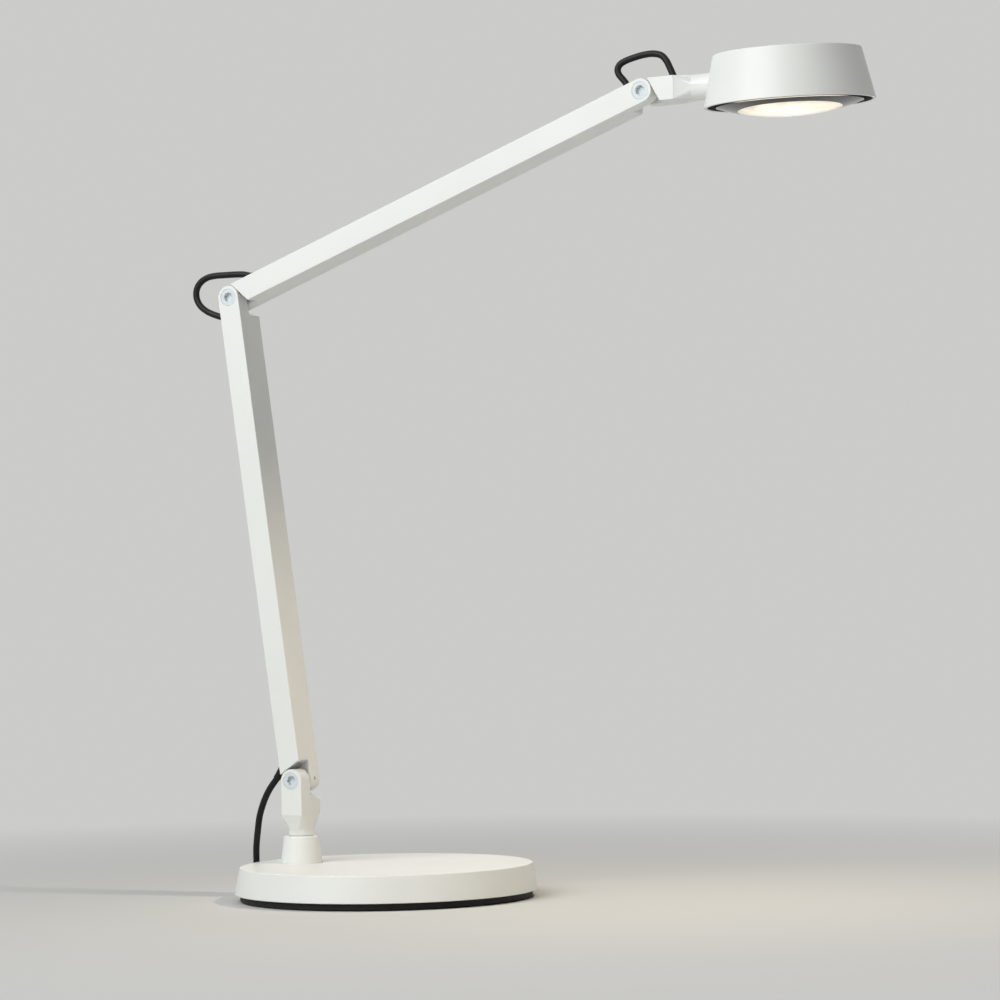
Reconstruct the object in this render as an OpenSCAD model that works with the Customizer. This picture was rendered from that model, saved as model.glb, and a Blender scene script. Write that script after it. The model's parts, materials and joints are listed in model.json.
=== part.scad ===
// Articulated desk lamp on a weighted round base: a swivelling foot, two equal arms
// joined by half-lap friction hinges, and a flat drum head that tilts and twists.
// Millimetres. Origin: centre of the base on the table. +Z up, +X towards the head.

/* [Base] */
// Diameter of the base cover at its lower rim
base_d = 210; // [190:1:260]
// How far the cover's wall leans in, on each side, from rim to top
base_taper = 3.2; // [2:0.1:8]
// Height of the base cover
cover_h = 18.5; // [16:0.5:26]
// Wall of the base cover
cover_wall = 3; // [2:0.5:4]
// Height of the black pad that shows under the cover
pad_h = 5; // [3:0.5:8]
// How far the pad's edge stands back from the cover's rim
pad_inset = 3.5; // [2:0.5:6]
// Thickness of the plate that closes the base
plate_t = 3; // [2:0.5:4]
// Distance of the swivel axis from the edge of the cover's top
swivel_inset = 34.8; // [26:0.1:50]
// Distance of the four base screws from the cover's rim
screw_inset = 30; // [24:1:45]

/* [Foot] */
// Length of the foot's round neck that shows above the collar
foot_neck = 3.5; // [1:0.5:20]
// Diameter of the collar where it stands on the cover
collar_low_d = 29.4; // [28:0.2:36]
// Diameter of the collar at its top
collar_top_d = 24.6; // [23:0.2:28]
// Height of the collar
collar_h = 19; // [15:0.5:20]
// Diameter of the swivel pin
stem_d = 11; // [9:0.5:12]

/* [Arms] */
// Length of an arm from pivot to pivot
arm_len = 344; // [250:1:450]
// Depth of an arm, in the plane in which it folds
arm_depth = 16.2; // [13.4:0.1:20]
// Width of an arm, along its pivots
arm_width = 27; // [26:0.5:34]
// Wall of the hollow arm
arm_wall = 1.6; // [1.2:0.2:2]
// How far the lower arm leans back from upright
lower_lean = 7.35; // [0:0.05:20]
// How far the upper arm rises above level
upper_rise = 20.9; // [0:0.1:30]
// Slant of the shoulder behind each half-lap
shoulder_slant = 28; // [20:1:36]
// Distance of the shoulder's face from the pivot axis, beyond the rounded ear
shoulder_gap = 0.35; // [0.3:0.05:2]
// Gap between the two ears of a hinge
lap_gap = 1.2; // [1:0.1:2]

/* [Hinge hardware] */
// Diameter of the hinge bolt's shank
bolt_d = 6; // [5:0.5:6]
// Width of the ear's rim round the bolt's flat head and round its nut
bolt_inset = 2.15; // [1.5:0.05:3]
// Width of the hexagon socket across its flats
socket_w = 6; // [4:0.5:7]
// Wall of the sleeve that the bolt turns in
sleeve_wall = 1.5; // [1:0.1:1.6]

/* [Knuckles] */
// Length of a knuckle's square block from its pivot
block_len = 24.5; // [23:0.5:30]
// Length of the taper from the block to the round neck
taper_len = 10.5; // [8:0.5:13]
// Diameter of the round neck
neck_d = 17.6; // [15:0.1:21.2]

/* [Head] */
// Length of the head's round neck that shows before the drum
head_neck = 13.4; // [6:0.2:40]
// Rise of the neck above level
head_rise = 1.1; // [-5:0.1:20]
// Twist of the drum about the neck
head_twist = 2.75; // [-10:0.25:10]
// Diameter of the drum at its open rim
drum_d = 114; // [94:1:140]
// How far the drum's wall leans in, on each side, from rim to top
drum_taper = 7.6; // [4:0.2:12]
// Space between the neck's bearing and the drum's top
roof_gap = 3.4; // [2.5:0.1:8]
// Space between the neck's bearing and the reflector's rim
bearing_gap = 0.2; // [0.1:0.05:3]
// Wall of the drum
drum_wall = 2.2; // [1.8:0.1:2.6]
// Width of the drum's rim from its edge to the lens
rim_w = 8; // [6:0.5:14]
// How far the lens bulges
lens_bulge = 8; // [5:0.1:12]
// Diameter of the dimmer button
button_d = 18; // [14:0.5:20]
// Travel of the dimmer button
button_travel = 1.2; // [0.8:0.1:1.5]

/* [Cables] */
// Diameter of the power cord and of the cable in the arms
cable_d = 4.6; // [4:0.1:5]
// Diameter of the stored coil at the middle of its turns
coil_d = 55; // [48:1:56]
// Turns that lie side by side in the coil
coil_across = 5; // [3:1:5]
// Turns that lie on each other in the coil
coil_high = 2; // [2:1:3]

/* [Hidden] */
$fn = 96;
eps = 0.01;
run_gap = 0.05; // radial clearance of a shaft that turns in its hole
seat_gap = 0.05; // clearance of a piece pushed into its place
air_gap = 0.3; // space between pieces that move past each other

white = [0.93, 0.94, 0.92];
black = [0.05, 0.05, 0.05];
steel = [0.62, 0.64, 0.66];
zinc = [0.78, 0.83, 0.87];
brass = [0.80, 0.66, 0.35];

// base
base_r = base_d / 2;
cover_top = pad_h + cover_h;
ceiling = cover_top - cover_wall;
top_r = base_r - base_taper;
plate_top = pad_h + plate_t;
inner_rim_r = base_r - cover_wall;
inner_top_r = top_r - cover_wall;
weight_r = inner_top_r - 2.3;
weight_air = 0.2;
edge_round = 0.8;
swivel_x = swivel_inset - top_r;
boss_r = 5;
base_screw_r = base_r - screw_inset;
base_screw_len = cover_h - 6.1;
base_thread_r = 2;
base_head_r = 4;

// foot
stem_r = stem_d / 2;
bush_r = stem_r + 2;
spigot_r = bush_r + 2;
spigot_len = cover_h - 8.5;
nut_r = spigot_r + 3.5;
nut_h = 6;
flange_h = 0.3;
collar_top = cover_top + collar_h;
neck_r = neck_d / 2;
neck_low = collar_top + flange_h + 0.2;
clip_t = 1.2;
clip_low = cover_top - spigot_len - clip_t - 0.3;
stem_low = clip_low - 2.6; // end of the pin, past its clip
pivot_z = neck_low + foot_neck + taper_len + block_len;
stem_high = pivot_z - 22;

// arms
half_w = arm_width / 2;
ear_r = arm_depth / 2;
lap = lap_gap / 2;
shoulder_r = ear_r + shoulder_gap;
cut_outer = (shoulder_r - ear_r * sin(shoulder_slant)) / cos(shoulder_slant);
cut_inner = (shoulder_r + ear_r * sin(shoulder_slant)) / cos(shoulder_slant);
lower_angle = 90 + lower_lean;
elbow = [swivel_x + arm_len * cos(lower_angle), 0, pivot_z + arm_len * sin(lower_angle)];
head_pivot = elbow + arm_len * [cos(upper_rise), 0, sin(upper_rise)];
insert_len = 36;
insert_screw_x = 31;
insert_screw_r = 1.5;
set_screw_r = 1.2;
foot_port_x = 15; // cable ports at the arms' lower ends, from the pivot
elbow_port_x = 18.5;
port_slant = 48;
high_port_x = 12; // cable port, measured back from an arm's upper pivot
port_r = cable_d / 2 + 0.9;
relief_len = 20;
relief_in = 4; // part of the relief that lies in the arm
channel_z = 0.6;
channel_r = cable_d / 2 + 0.8;
insert_screw_len = ear_r - channel_z - channel_r - 0.2; // stops short of the cable's channel

// hinge hardware
bolt_r = bolt_d / 2;
bolt_head_r = ear_r - bolt_inset;
head_h = 4.2;
sink = 0.15; // how far bolt heads and nuts lie below the arm's face
bolt_pocket = head_h + sink;
nut_pocket = 5;
insert_pocket_r = ear_r - arm_wall + 1;
disc_t = lap_gap - 0.2;
disc_r = ear_r - 1.1;
sleeve_r = bolt_r + run_gap + sleeve_wall;
spring_t = 0.7;
spring_r = bolt_head_r - 0.35;
spring_air = 0.1;
nut_t = nut_pocket - sink - 2 * spring_t - 2 * spring_air;

// head
drum_r = drum_d / 2;
drum_top_r = drum_r - drum_taper;
socket_r = neck_r + 2.9; // bearing for the neck in the drum
top_t = 2.5;
lip_h = 1.6; // the ring's lip under the lens
lens_flange = 2.2;
rim_air = 0.1; // above and below the lens's flange
cup_t = 1; // wall of the reflector
drum_above = socket_r + roof_gap + top_t;
drum_low = socket_r + bearing_gap + cup_t + rim_air + lens_flange + rim_air + lip_h;
drum_h = drum_above + drum_low;
side_slope = (drum_r - drum_top_r) / drum_h;
wall_r = drum_top_r + side_slope * drum_above; // drum's radius level with the neck
drum_round = 1;
lens_r = drum_r - rim_w;
lens_lip = 1.9;
lens_seat = -drum_low - 0.1;
lens_ball_r = (lens_r * lens_r + lens_bulge * lens_bulge) / (2 * lens_bulge);
bezel_low = -drum_low + 0.2;
bezel_lip_top = -drum_low + lip_h;
bezel_top = -drum_low + 5;
reach = block_len + taper_len + head_neck + wall_r; // from the pivot to the middle of the drum
boss_end = reach - wall_r + 14; // inner end of the neck's bearing in the drum
neck_end = boss_end + 4;
neck_bore_r = 4;
mouth_r = lens_r - 13.6;
throat_r = 9;
throat_z = -4;
knuckle_port_x = 20;
knuckle_port_slant = 25;
button_r = button_d / 2;
button_proud = 0.8;
board_z = drum_above - top_t - 7.3;
board_t = 1.6;
switch_h = 2;
sink_r = drum_top_r - 7.4;
sink_low = -0.2;
sink_top = 2.8;
fin_from = 20;
fin_t = 1.6;
fin_h = 6.5;
fin_angles = [-120, -105, -90, -75, -60, -30, -15, 0, 15, 30, 60, 75, 90, 105, 120];
head_screw_r = sink_r - 8;

// cables
cable_r = cable_d / 2;
coil_pitch = cable_d + 0.1;
coil_in = coil_d / 2 - coil_across / 2 * coil_pitch;
coil_out = coil_d / 2 + coil_across / 2 * coil_pitch;
coil_h = coil_high * cable_d + 0.2;
coil_low = 0.6;
turn_out = coil_d / 2 + (coil_across - 1) / 2 * coil_pitch; // outermost turn, at mid-cord
// sizes and places that the routes below are drawn for; each route follows what differs from them
route_base_r = 105;
route_coil_out = 39.25;
route_coil = [-82, 121, 0];
route_join = [-118.9, 121, 0]; // middle of the coil's outermost turn, level with its centre
route_tip = [-86, 0, 82.2]; // end of the cord's relief
route_ear = 8.1; // half the depth of an arm
stray = base_r - route_base_r + coil_out - route_coil_out; // moves the coil out with base or coil
coil_x = route_coil[0] - stray;
coil_y = route_coil[1] + 0.7 * stray;
plug_x = coil_x + 49;
plug_y = coil_y + turn_out - 1.9;
plug_len = 36;
plug_w = 30;
plug_h = 14;
pin_r = 2;
pin_len = 19;
pin_root = 8; // part of a pin that is held in the plug
pin_root_r = 1.6;
pin_space = 19;

// the power cord's way down behind the base and across the table to the coil
cord_laid = [
    [-86.4, 0, 81.7], [-91.7, 0, 75.2], [-97, 1, 66.8], [-101.5, 2, 56], [-104.5, 4, 45],
    [-107, 6, 34], [-109.5, 10, 23], [-112, 15, 13], [-115, 22, 6], [-117.5, 31, 2.9],
    [-119, 42, 2.4], [-119.7, 54, 2.4], [-119.8, 66, 2.4], [-119.5, 78, 2.4], [-119.2, 90, 2.6],
    [-118.9, 101, 2.9], [-118.9, 110, 2.9]
];
// from the coil to the plug, measured from the plug's cord end
plug_laid = [[-33, 1.9, -0.6], [-24, 1.6, -2.4], [-16, 0.8, -2.6], [-9, 0, -1], [-4, 0, 0], [0, 0, 0]];
// loops beside the elbow and the head hinge, in the plane of the arms, from each hinge's axis
elbow_loop = [
    [-7.9, -13.1], [-11, -13.1], [-15.4, -12], [-20.6, -10.2], [-26, -7.6], [-31, -3.4], [-33.7, 2.2],
    [-33.4, 8], [-30.2, 12.8], [-24.6, 15.9], [-17.8, 17], [-10, 17.1], [-2, 17.1], [5, 16.8], [11, 15.5]
];
head_loop = [
    [-14.6, 4.6], [-16, 7.4], [-18.4, 10.4], [-20.9, 13.4], [-22, 16.8], [-20.4, 20.2], [-16.4, 22.4],
    [-10, 24.2], [-2.4, 25.6], [4.6, 25.8], [10.4, 24.2], [14, 20.4], [16.4, 15.6], [18.2, 11.6],
    [19.4, 8.9]
];

function turned_up(v, a) = [v[0] * cos(a) - v[1] * sin(a), 0, v[0] * sin(a) + v[1] * cos(a)];
function unit(v) = v / norm(v);
function way(p, i) = unit(p[min(i + 1, len(p) - 1)] - p[max(i - 1, 0)]);
function level_out(n, t) = unit(n - (n * t) * t);
// a side direction at each point, carried along the route without twisting
function sides_of(p) = [
    for (
        i = 0, n = level_out([0.31, 0.87, 0.38], way(p, 0));
        i < len(p);
        i = i + 1, n = level_out(n, way(p, min(i, len(p) - 1)))
    ) n
];
// end of the cord relief: port on the lower arm's face, then out along the slanted port
relief_tip = [swivel_x, 0, pivot_z]
    + turned_up([foot_port_x, ear_r], lower_angle)
    + turned_up([0, relief_len - relief_in], lower_angle + port_slant);
// the cord's upper end follows the arm and its lower end the coil
function shift_of(p) =
    let (high = max(0, min(1, (p[2] - 6) / 75)))
        high * (relief_tip - route_tip) + (1 - high) * ([coil_x - turn_out, coil_y, 0] - route_join);
function off_table(p) = [p[0], p[1], max(p[2], cable_r + 0.1)];
cord_route = [for (p = cord_laid) off_table(p + shift_of(p))];
plug_route = [for (p = plug_laid) off_table([plug_x, plug_y, plug_h / 2] + p)];

// a loop's points about its hinge; its ends follow the faces of the two pieces it joins
function loop_route(loop, centre, first_rise, last_rise) = [
    for (i = [0:len(loop) - 1])
        let (rise = first_rise + (last_rise - first_rise) * i / (len(loop) - 1))
            centre + [loop[i][0], 0, loop[i][1]] + (ear_r - route_ear) * turned_up([0, 1], rise)
];

// a round cable of radius r swept along points
module cable(points, r, sides = 8) {
    last = len(points) - 1;
    out = sides_of(points);
    rings = [
        for (i = [0:last])
            let (t = way(points, i), n = out[i], b = cross(t, n))
                for (k = [0:sides - 1])
                    points[i] + r * (cos(360 * k / sides) * n + sin(360 * k / sides) * b)
    ];
    walls = [
        for (i = [0:last - 1], k = [0:sides - 1])
            let (m = (k + 1) % sides)
                [i * sides + k, (i + 1) * sides + k, (i + 1) * sides + m, i * sides + m]
    ];
    first_cap = [for (k = [0:sides - 1]) k];
    last_cap = [for (k = [sides - 1:-1:0]) last * sides + k];
    polyhedron(points = rings, faces = concat([first_cap], walls, [last_cap]), convexity = 6);
}

// a shape drawn in the arms' plane, given thickness from y0 to y1
module slab(y0, y1) {
    translate([0, y1, 0])
        rotate([90, 0, 0])
            linear_extrude(y1 - y0)
                children();
}

// a cylinder along y from y0 to y1
module pin_y(r, y0, y1) {
    slab(y0, y1)
        circle(r);
}

module tube_between(r_out, r_in, z0, z1) {
    rotate_extrude()
        translate([r_in, z0])
            square([r_out - r_in, z1 - z0]);
}

module place_base_axis() {
    translate([swivel_x, 0, 0])
        children();
}

module place_lower() {
    translate([swivel_x, 0, pivot_z])
        rotate([0, -lower_angle, 0])
            children();
}

module place_upper() {
    translate(elbow)
        rotate([0, -upper_rise, 0])
            children();
}

module place_head_knuckle() {
    translate(head_pivot)
        rotate([0, -head_rise, 0])
            children();
}

// the head's knuckle turned upside down, its ear on the near side, stands in the foot
module place_foot_knuckle() {
    translate([swivel_x, 0, pivot_z])
        rotate([0, 90, 0])
            rotate([180, 0, 0])
                children();
}

// origin in the middle of the drum, level with the neck
module place_drum() {
    place_head_knuckle()
        rotate([head_twist, 0, 0])
            translate([reach, 0, 0])
                children();
}

module place_coil() {
    translate([coil_x, coil_y, 0])
        children();
}

// ---- base ----

module cover_outline() {
    hull() {
        translate([0, pad_h])
            square([base_r - 0.4, eps]);
        translate([0, pad_h + 0.4])
            square([base_r, eps]);
        translate([0, cover_top - eps])
            square([top_r - edge_round, eps]);
        translate([top_r - edge_round, cover_top - edge_round])
            circle(edge_round, $fn = 32);
    }
}

module base_screw_spots() {
    for (a = [45:90:315])
        rotate([0, 0, a])
            translate([base_screw_r, 0, 0])
                children();
}

module foot_pad() {
    color(black)
        rotate_extrude()
            polygon([
                [0, 0], [base_r - pad_inset - 0.8, 0], [base_r - pad_inset, 0.8],
                [base_r - pad_inset, pad_h], [0, pad_h]
            ]);
}

module base_plate() {
    color(steel)
        difference() {
            translate([0, 0, pad_h])
                cylinder(h = plate_t, r = inner_rim_r - 1.2);
            base_screw_spots()
                base_screw(seat_gap);
        }
}

module base_screw(extra = 0) {
    translate([0, 0, pad_h])
        cylinder(h = 2, r1 = base_head_r + extra, r2 = base_thread_r + extra);
    translate([0, 0, pad_h])
        cylinder(h = base_screw_len + extra, r = base_thread_r + extra);
}

module base_screws() {
    color(steel)
        difference() {
            base_screw_spots()
                base_screw();
            base_screw_spots()
                translate([0, 0, pad_h - eps])
                    cylinder(h = 1.2, r = 1.3, $fn = 6);
        }
}

module base_weight() {
    color([0.35, 0.36, 0.38])
        difference() {
            translate([0, 0, plate_top + weight_air])
                cylinder(h = ceiling - plate_top - 2 * weight_air, r = weight_r);
            base_screw_spots()
                cylinder(h = cover_top, r = boss_r + 1);
            place_base_axis()
                cylinder(h = cover_top, r = nut_r + 2);
        }
}

module base_cover() {
    color(white)
        difference() {
            union() {
                difference() {
                    rotate_extrude()
                        cover_outline();
                    translate([0, 0, pad_h - eps])
                        cylinder(h = ceiling - pad_h + eps, r1 = inner_rim_r, r2 = inner_top_r);
                }
                base_screw_spots()
                    translate([0, 0, plate_top])
                        cylinder(h = ceiling - plate_top + 1, r = boss_r);
            }
            base_screw_spots()
                translate([0, 0, plate_top - eps])
                    cylinder(h = base_screw_len - plate_t + 0.6, r = base_thread_r + seat_gap);
            place_base_axis()
                cylinder(h = cover_top + 1, r = spigot_r + seat_gap);
        }
}

// ---- foot ----

module collar() {
    color(white)
        place_base_axis()
            difference() {
                union() {
                    rotate_extrude()
                        hull() {
                            translate([0, cover_top])
                                square([collar_low_d / 2, eps]);
                            translate([0, collar_top - 1])
                                square([collar_top_d / 2 + 0.2, eps]);
                            translate([0, collar_top - eps])
                                square([collar_top_d / 2 - 0.9, eps]);
                        }
                    translate([0, 0, cover_top - spigot_len])
                        cylinder(h = spigot_len, r = spigot_r);
                }
                translate([0, 0, cover_top - spigot_len - 1])
                    cylinder(h = collar_h + spigot_len + 2, r = bush_r);
            }
}

module collar_bush() {
    color(brass)
        place_base_axis() {
            tube_between(bush_r, stem_r + run_gap, cover_top - spigot_len, collar_top);
            tube_between(neck_r - 0.6, stem_r + run_gap, collar_top, collar_top + flange_h);
        }
}

module collar_nut() {
    color(steel)
        place_base_axis()
            difference() {
                translate([0, 0, ceiling - nut_h])
                    cylinder(h = nut_h, r = nut_r, $fn = 6);
                translate([0, 0, ceiling - nut_h - 1])
                    cylinder(h = nut_h + 2, r = spigot_r);
            }
}

module stem_pin() {
    color(steel)
        place_base_axis()
            translate([0, 0, stem_low])
                cylinder(h = stem_high - stem_low, r = stem_r);
}

module stem_clip() {
    color(steel)
        place_base_axis()
            tube_between(stem_r + 2.6, stem_r, clip_low, clip_low + clip_t);
}

// block, taper and neck from the pivot along +x; the ear lies at +y and the shoulder faces it
module knuckle_block(neck_to) {
    slab(lap, half_w)
        ear_outline(block_len);
    slab(-half_w, lap)
        polygon([
            [cut_outer, ear_r], [block_len, ear_r], [block_len, -ear_r], [cut_inner, -ear_r]
        ]);
    hull() {
        translate([block_len - eps, -half_w, -ear_r])
            cube([eps, arm_width, arm_depth]);
        translate([block_len + taper_len - eps, 0, 0])
            rotate([0, 90, 0])
                cylinder(h = eps, r = neck_r - 0.1, $fn = 48);
    }
    translate([block_len + taper_len - 1, 0, 0])
        rotate([0, 90, 0])
            cylinder(h = neck_to - block_len - taper_len + 1, r = neck_r);
}

module ear_outline(length, r = ear_r) {
    circle(r);
    translate([0, -r])
        square([length, 2 * r]);
}

module foot_knuckle() {
    color(white)
        difference() {
            place_foot_knuckle()
                difference() {
                    knuckle_block(pivot_z - neck_low);
                    bolt_side_holes(1);
                }
            place_base_axis()
                translate([0, 0, neck_low - 1])
                    cylinder(h = stem_high - neck_low + 1, r = stem_r);
        }
}

// ---- hinge hardware: side is -1 where the bolt's head is nearest -y, as seen from the pivot ----

// hole for the bolt and pocket for its head in an ear that lies on the given side
module bolt_side_holes(side) {
    y0 = side > 0 ? 0 : -half_w - 1;
    y1 = side > 0 ? half_w + 1 : 0;
    pin_y(bolt_r + run_gap, y0, y1);
    pocket_y = half_w - bolt_pocket;
    if (side > 0)
        pin_y(bolt_head_r + seat_gap, pocket_y, half_w + 1);
    else
        pin_y(bolt_head_r + seat_gap, -half_w - 1, -pocket_y);
}

// hole for the sleeve and pocket for springs and nut in an ear that lies at +y
module nut_side_holes() {
    pin_y(sleeve_r, 0, half_w + 1);
    pin_y(bolt_head_r + air_gap, half_w - nut_pocket, half_w + 1);
}

// bolt with its head at -y and its thread reaching the far ear's pocket
module hinge_bolt() {
    color(zinc)
        difference() {
            union() {
                pin_y(bolt_r, -half_w + sink + head_h - 1, half_w - sink - 0.4);
                pin_y(bolt_head_r, -half_w + sink, -half_w + sink + head_h);
            }
            slab(-half_w - 1, -half_w + sink + 2.8)
                circle(socket_w / 2 / cos(30), $fn = 6);
        }
}

module hinge_springs() {
    first = half_w - nut_pocket + spring_air;
    color(steel)
        for (n = [0:1])
            slab(first + n * spring_t, first + (n + 1) * spring_t)
                difference() {
                    circle(spring_r - n * 0.6);
                    circle(bolt_r + seat_gap);
                }
}

module hinge_nut() {
    top = half_w - sink;
    color(zinc)
        difference() {
            pin_y(bolt_head_r - 0.1, top - nut_t, top);
            pin_y(bolt_r, top - nut_t - 1, top + 1);
            for (a = [0, 90])
                rotate([0, a, 0])
                    translate([-bolt_head_r - 1, top - 1, -0.7])
                        cube([2 * bolt_head_r + 2, 2, 1.4]);
        }
}

module hinge_disc() {
    color([0.25, 0.22, 0.2])
        slab(lap - disc_t, lap)
            difference() {
                circle(disc_r);
                circle(bolt_r + air_gap);
            }
}

module hinge_sleeve() {
    color(brass)
        slab(lap, half_w - nut_pocket)
            difference() {
                circle(sleeve_r);
                circle(bolt_r + run_gap);
            }
}

module foot_bolt() {
    place_lower()
        hinge_bolt();
}

module foot_springs() {
    place_lower()
        hinge_springs();
}

module foot_nut() {
    place_lower()
        hinge_nut();
}

module foot_disc() {
    place_lower()
        hinge_disc();
}

module foot_sleeve() {
    place_lower()
        hinge_sleeve();
}

module elbow_bolt() {
    place_upper()
        hinge_bolt();
}

module elbow_springs() {
    place_upper()
        hinge_springs();
}

module elbow_nut() {
    place_upper()
        hinge_nut();
}

module elbow_disc() {
    place_upper()
        hinge_disc();
}

module elbow_sleeve() {
    place_upper()
        hinge_sleeve();
}

module head_bolt() {
    place_head_knuckle()
        hinge_bolt();
}

module head_springs() {
    place_head_knuckle()
        hinge_springs();
}

module head_nut() {
    place_head_knuckle()
        hinge_nut();
}

module head_disc() {
    place_head_knuckle()
        hinge_disc();
}

module head_sleeve() {
    place_head_knuckle()
        hinge_sleeve();
}

// ---- arms: pivot at the origin, the other pivot at +x; +z is the outer side, -z the inner ----

module arm_solid() {
    slab(-half_w, half_w)
        polygon([
            [cut_outer, ear_r], [arm_len - cut_outer, ear_r],
            [arm_len - cut_inner, -ear_r], [cut_inner, -ear_r]
        ]);
    slab(lap, half_w)
        ear_outline(cut_inner + 1);
    slab(-half_w, -lap)
        translate([arm_len, 0])
            mirror([1, 0])
                ear_outline(cut_inner + 1);
}

module arm_cavity(shrink = 0) {
    r = ear_r - arm_wall - shrink;
    slab(-half_w + arm_wall + shrink, half_w - arm_wall - shrink)
        hull() {
            circle(r);
            translate([arm_len, 0])
                circle(r);
        }
}

// the slanted port near an arm's lower end; out runs along its axis from the arm's face
module at_low_port(x) {
    translate([x, 0, ear_r])
        rotate([0, -port_slant, 0])
            children();
}

module low_port(x, depth) {
    at_low_port(x)
        translate([0, 0, -depth])
            cylinder(h = depth + 12, r = port_r);
}

module high_port(depth) {
    translate([arm_len - high_port_x, 0, ear_r - depth])
        cylinder(h = depth + 8, r = port_r);
}

module arm_tube(port_x) {
    color(white)
        difference() {
            arm_solid();
            arm_cavity();
            pin_y(bolt_head_r + air_gap, half_w - nut_pocket, half_w + 1);
            translate([arm_len, 0, 0])
                pin_y(bolt_head_r + seat_gap, -half_w - 1, -half_w + bolt_pocket);
            low_port(port_x, 7);
            high_port(3);
            insert_screw_spots()
                insert_screw_body(seat_gap);
            set_screw_spot()
                cylinder(h = 20, r = set_screw_r + seat_gap, center = true);
        }
}

// screws on the outer side that hold the two inserts
module insert_screw_spots() {
    for (x = [insert_screw_x, arm_len - insert_screw_x])
        translate([x, 0, ear_r])
            children();
}

module set_screw_spot() {
    translate([0, half_w / 2 - 0.5, -ear_r])
        children();
}

module insert_common(x0, x1) {
    intersection() {
        arm_solid();
        arm_cavity(seat_gap);
        translate([x0, -half_w, -ear_r])
            cube([x1 - x0, arm_width, arm_depth]);
    }
}

module foot_side_insert(port_x) {
    color([0.6, 0.6, 0.6])
        difference() {
            insert_common(-ear_r, insert_len);
            nut_side_holes();
            pin_y(insert_pocket_r, half_w - nut_pocket, half_w);
            low_port(port_x, 12);
            translate([port_x + 4, 0, channel_z])
                rotate([0, 90, 0])
                    cylinder(h = insert_len, r = channel_r);
            insert_screw_spots()
                insert_screw_body(0);
            set_screw_spot()
                cylinder(h = ear_r, r = set_screw_r);
        }
}

module head_side_insert() {
    color([0.6, 0.6, 0.6])
        difference() {
            insert_common(arm_len - insert_len, arm_len + ear_r);
            translate([arm_len, 0, 0]) {
                bolt_side_holes(-1);
                pin_y(insert_pocket_r, -half_w, -half_w + bolt_pocket);
            }
            high_port(9.5);
            translate([arm_len - insert_len - 1, 0, channel_z])
                rotate([0, 90, 0])
                    cylinder(h = insert_len - high_port_x + 2, r = channel_r);
            insert_screw_spots()
                insert_screw_body(0);
        }
}

// countersunk screw, head flush with the arm's face
module insert_screw_body(extra) {
    translate([0, 0, -1.3])
        cylinder(h = 1.3, r1 = insert_screw_r + extra, r2 = insert_screw_r + 1.3 + extra);
    translate([0, 0, -insert_screw_len])
        cylinder(h = insert_screw_len, r = insert_screw_r + extra);
}

module arm_screws() {
    color(zinc) {
        insert_screw_spots()
            difference() {
                insert_screw_body(0);
                translate([0, 0, -1])
                    cylinder(h = 2, r = 0.9, $fn = 6);
            }
        set_screw_spot()
            difference() {
                translate([0, 0, 0.8])
                    cylinder(h = ear_r - sleeve_r - 0.9, r = set_screw_r);
                translate([0, 0, 0.7])
                    cylinder(h = 1.1, r = 0.6, $fn = 6);
            }
    }
}

// rubber ring in a cable port; the lip stands on the arm's face
module high_grommet() {
    translate([arm_len - high_port_x, 0, ear_r]) {
        tube_between(port_r - seat_gap, cable_r + 0.1, -1.5, 0.1);
        tube_between(port_r + 0.8, cable_r + 0.1, 0.05, 0.9);
    }
}

// rubber sleeve in a slanted port, cut level with the inside of the arm's wall
module low_sleeve(x, out, tip_r) {
    intersection() {
        at_low_port(x)
            difference() {
                translate([0, 0, -relief_in])
                    cylinder(h = relief_in + out, r1 = port_r - seat_gap, r2 = tip_r);
                translate([0, 0, -relief_in - 1])
                    cylinder(h = relief_in + out + 2, r = cable_r + 0.05);
            }
        translate([-30, -10, ear_r - arm_wall])
            cube([80, 20, 40]);
    }
}

module arm_inner_cable(port_x, out) {
    run_x = cos(port_slant);
    run_z = sin(port_slant);
    bend_x = port_x + (ear_r - route_ear) * tan(port_slant);
    cable([
        [port_x - out * run_z, 0, ear_r + out * run_x], [port_x, 0, ear_r],
        [port_x + 5 * run_z, 0, ear_r - 5 * run_x], [bend_x + 6.5, 0, 2.6], [bend_x + 9.5, 0, 1.1],
        [bend_x + 13.5, 0, channel_z], [80, 0, channel_z], [arm_len / 2, 0, 0.4],
        [arm_len - 60, 0, channel_z], [arm_len - high_port_x - 7, 0, channel_z],
        [arm_len - high_port_x - 3, 0, channel_z + 0.8], [arm_len - high_port_x - 0.8, 0, channel_z + 2.4],
        [arm_len - high_port_x, 0, ear_r - 2], [arm_len - high_port_x, 0, ear_r + 0.8]
    ], cable_r - 0.1);
}

module lower_arm_tube() {
    place_lower()
        arm_tube(foot_port_x);
}

module lower_arm_foot_insert() {
    place_lower()
        foot_side_insert(foot_port_x);
}

module lower_arm_elbow_insert() {
    place_lower()
        head_side_insert();
}

module lower_arm_screws() {
    place_lower()
        arm_screws();
}

module lower_arm_cable() {
    color(black)
        place_lower()
            arm_inner_cable(foot_port_x, relief_len - relief_in - 0.3);
}

module lower_arm_grommet() {
    color(black)
        place_lower()
            high_grommet();
}

// tapered rubber sleeve where the power cord leaves the lower arm
module cord_relief() {
    color(black)
        place_lower()
            low_sleeve(foot_port_x, relief_len - relief_in, cable_r + 0.3);
}

module upper_arm_tube() {
    place_upper()
        arm_tube(elbow_port_x);
}

module upper_arm_elbow_insert() {
    place_upper()
        foot_side_insert(elbow_port_x);
}

module upper_arm_head_insert() {
    place_upper()
        head_side_insert();
}

module upper_arm_screws() {
    place_upper()
        arm_screws();
}

module upper_arm_cable() {
    color(black)
        place_upper()
            arm_inner_cable(elbow_port_x, 2.7);
}

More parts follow.
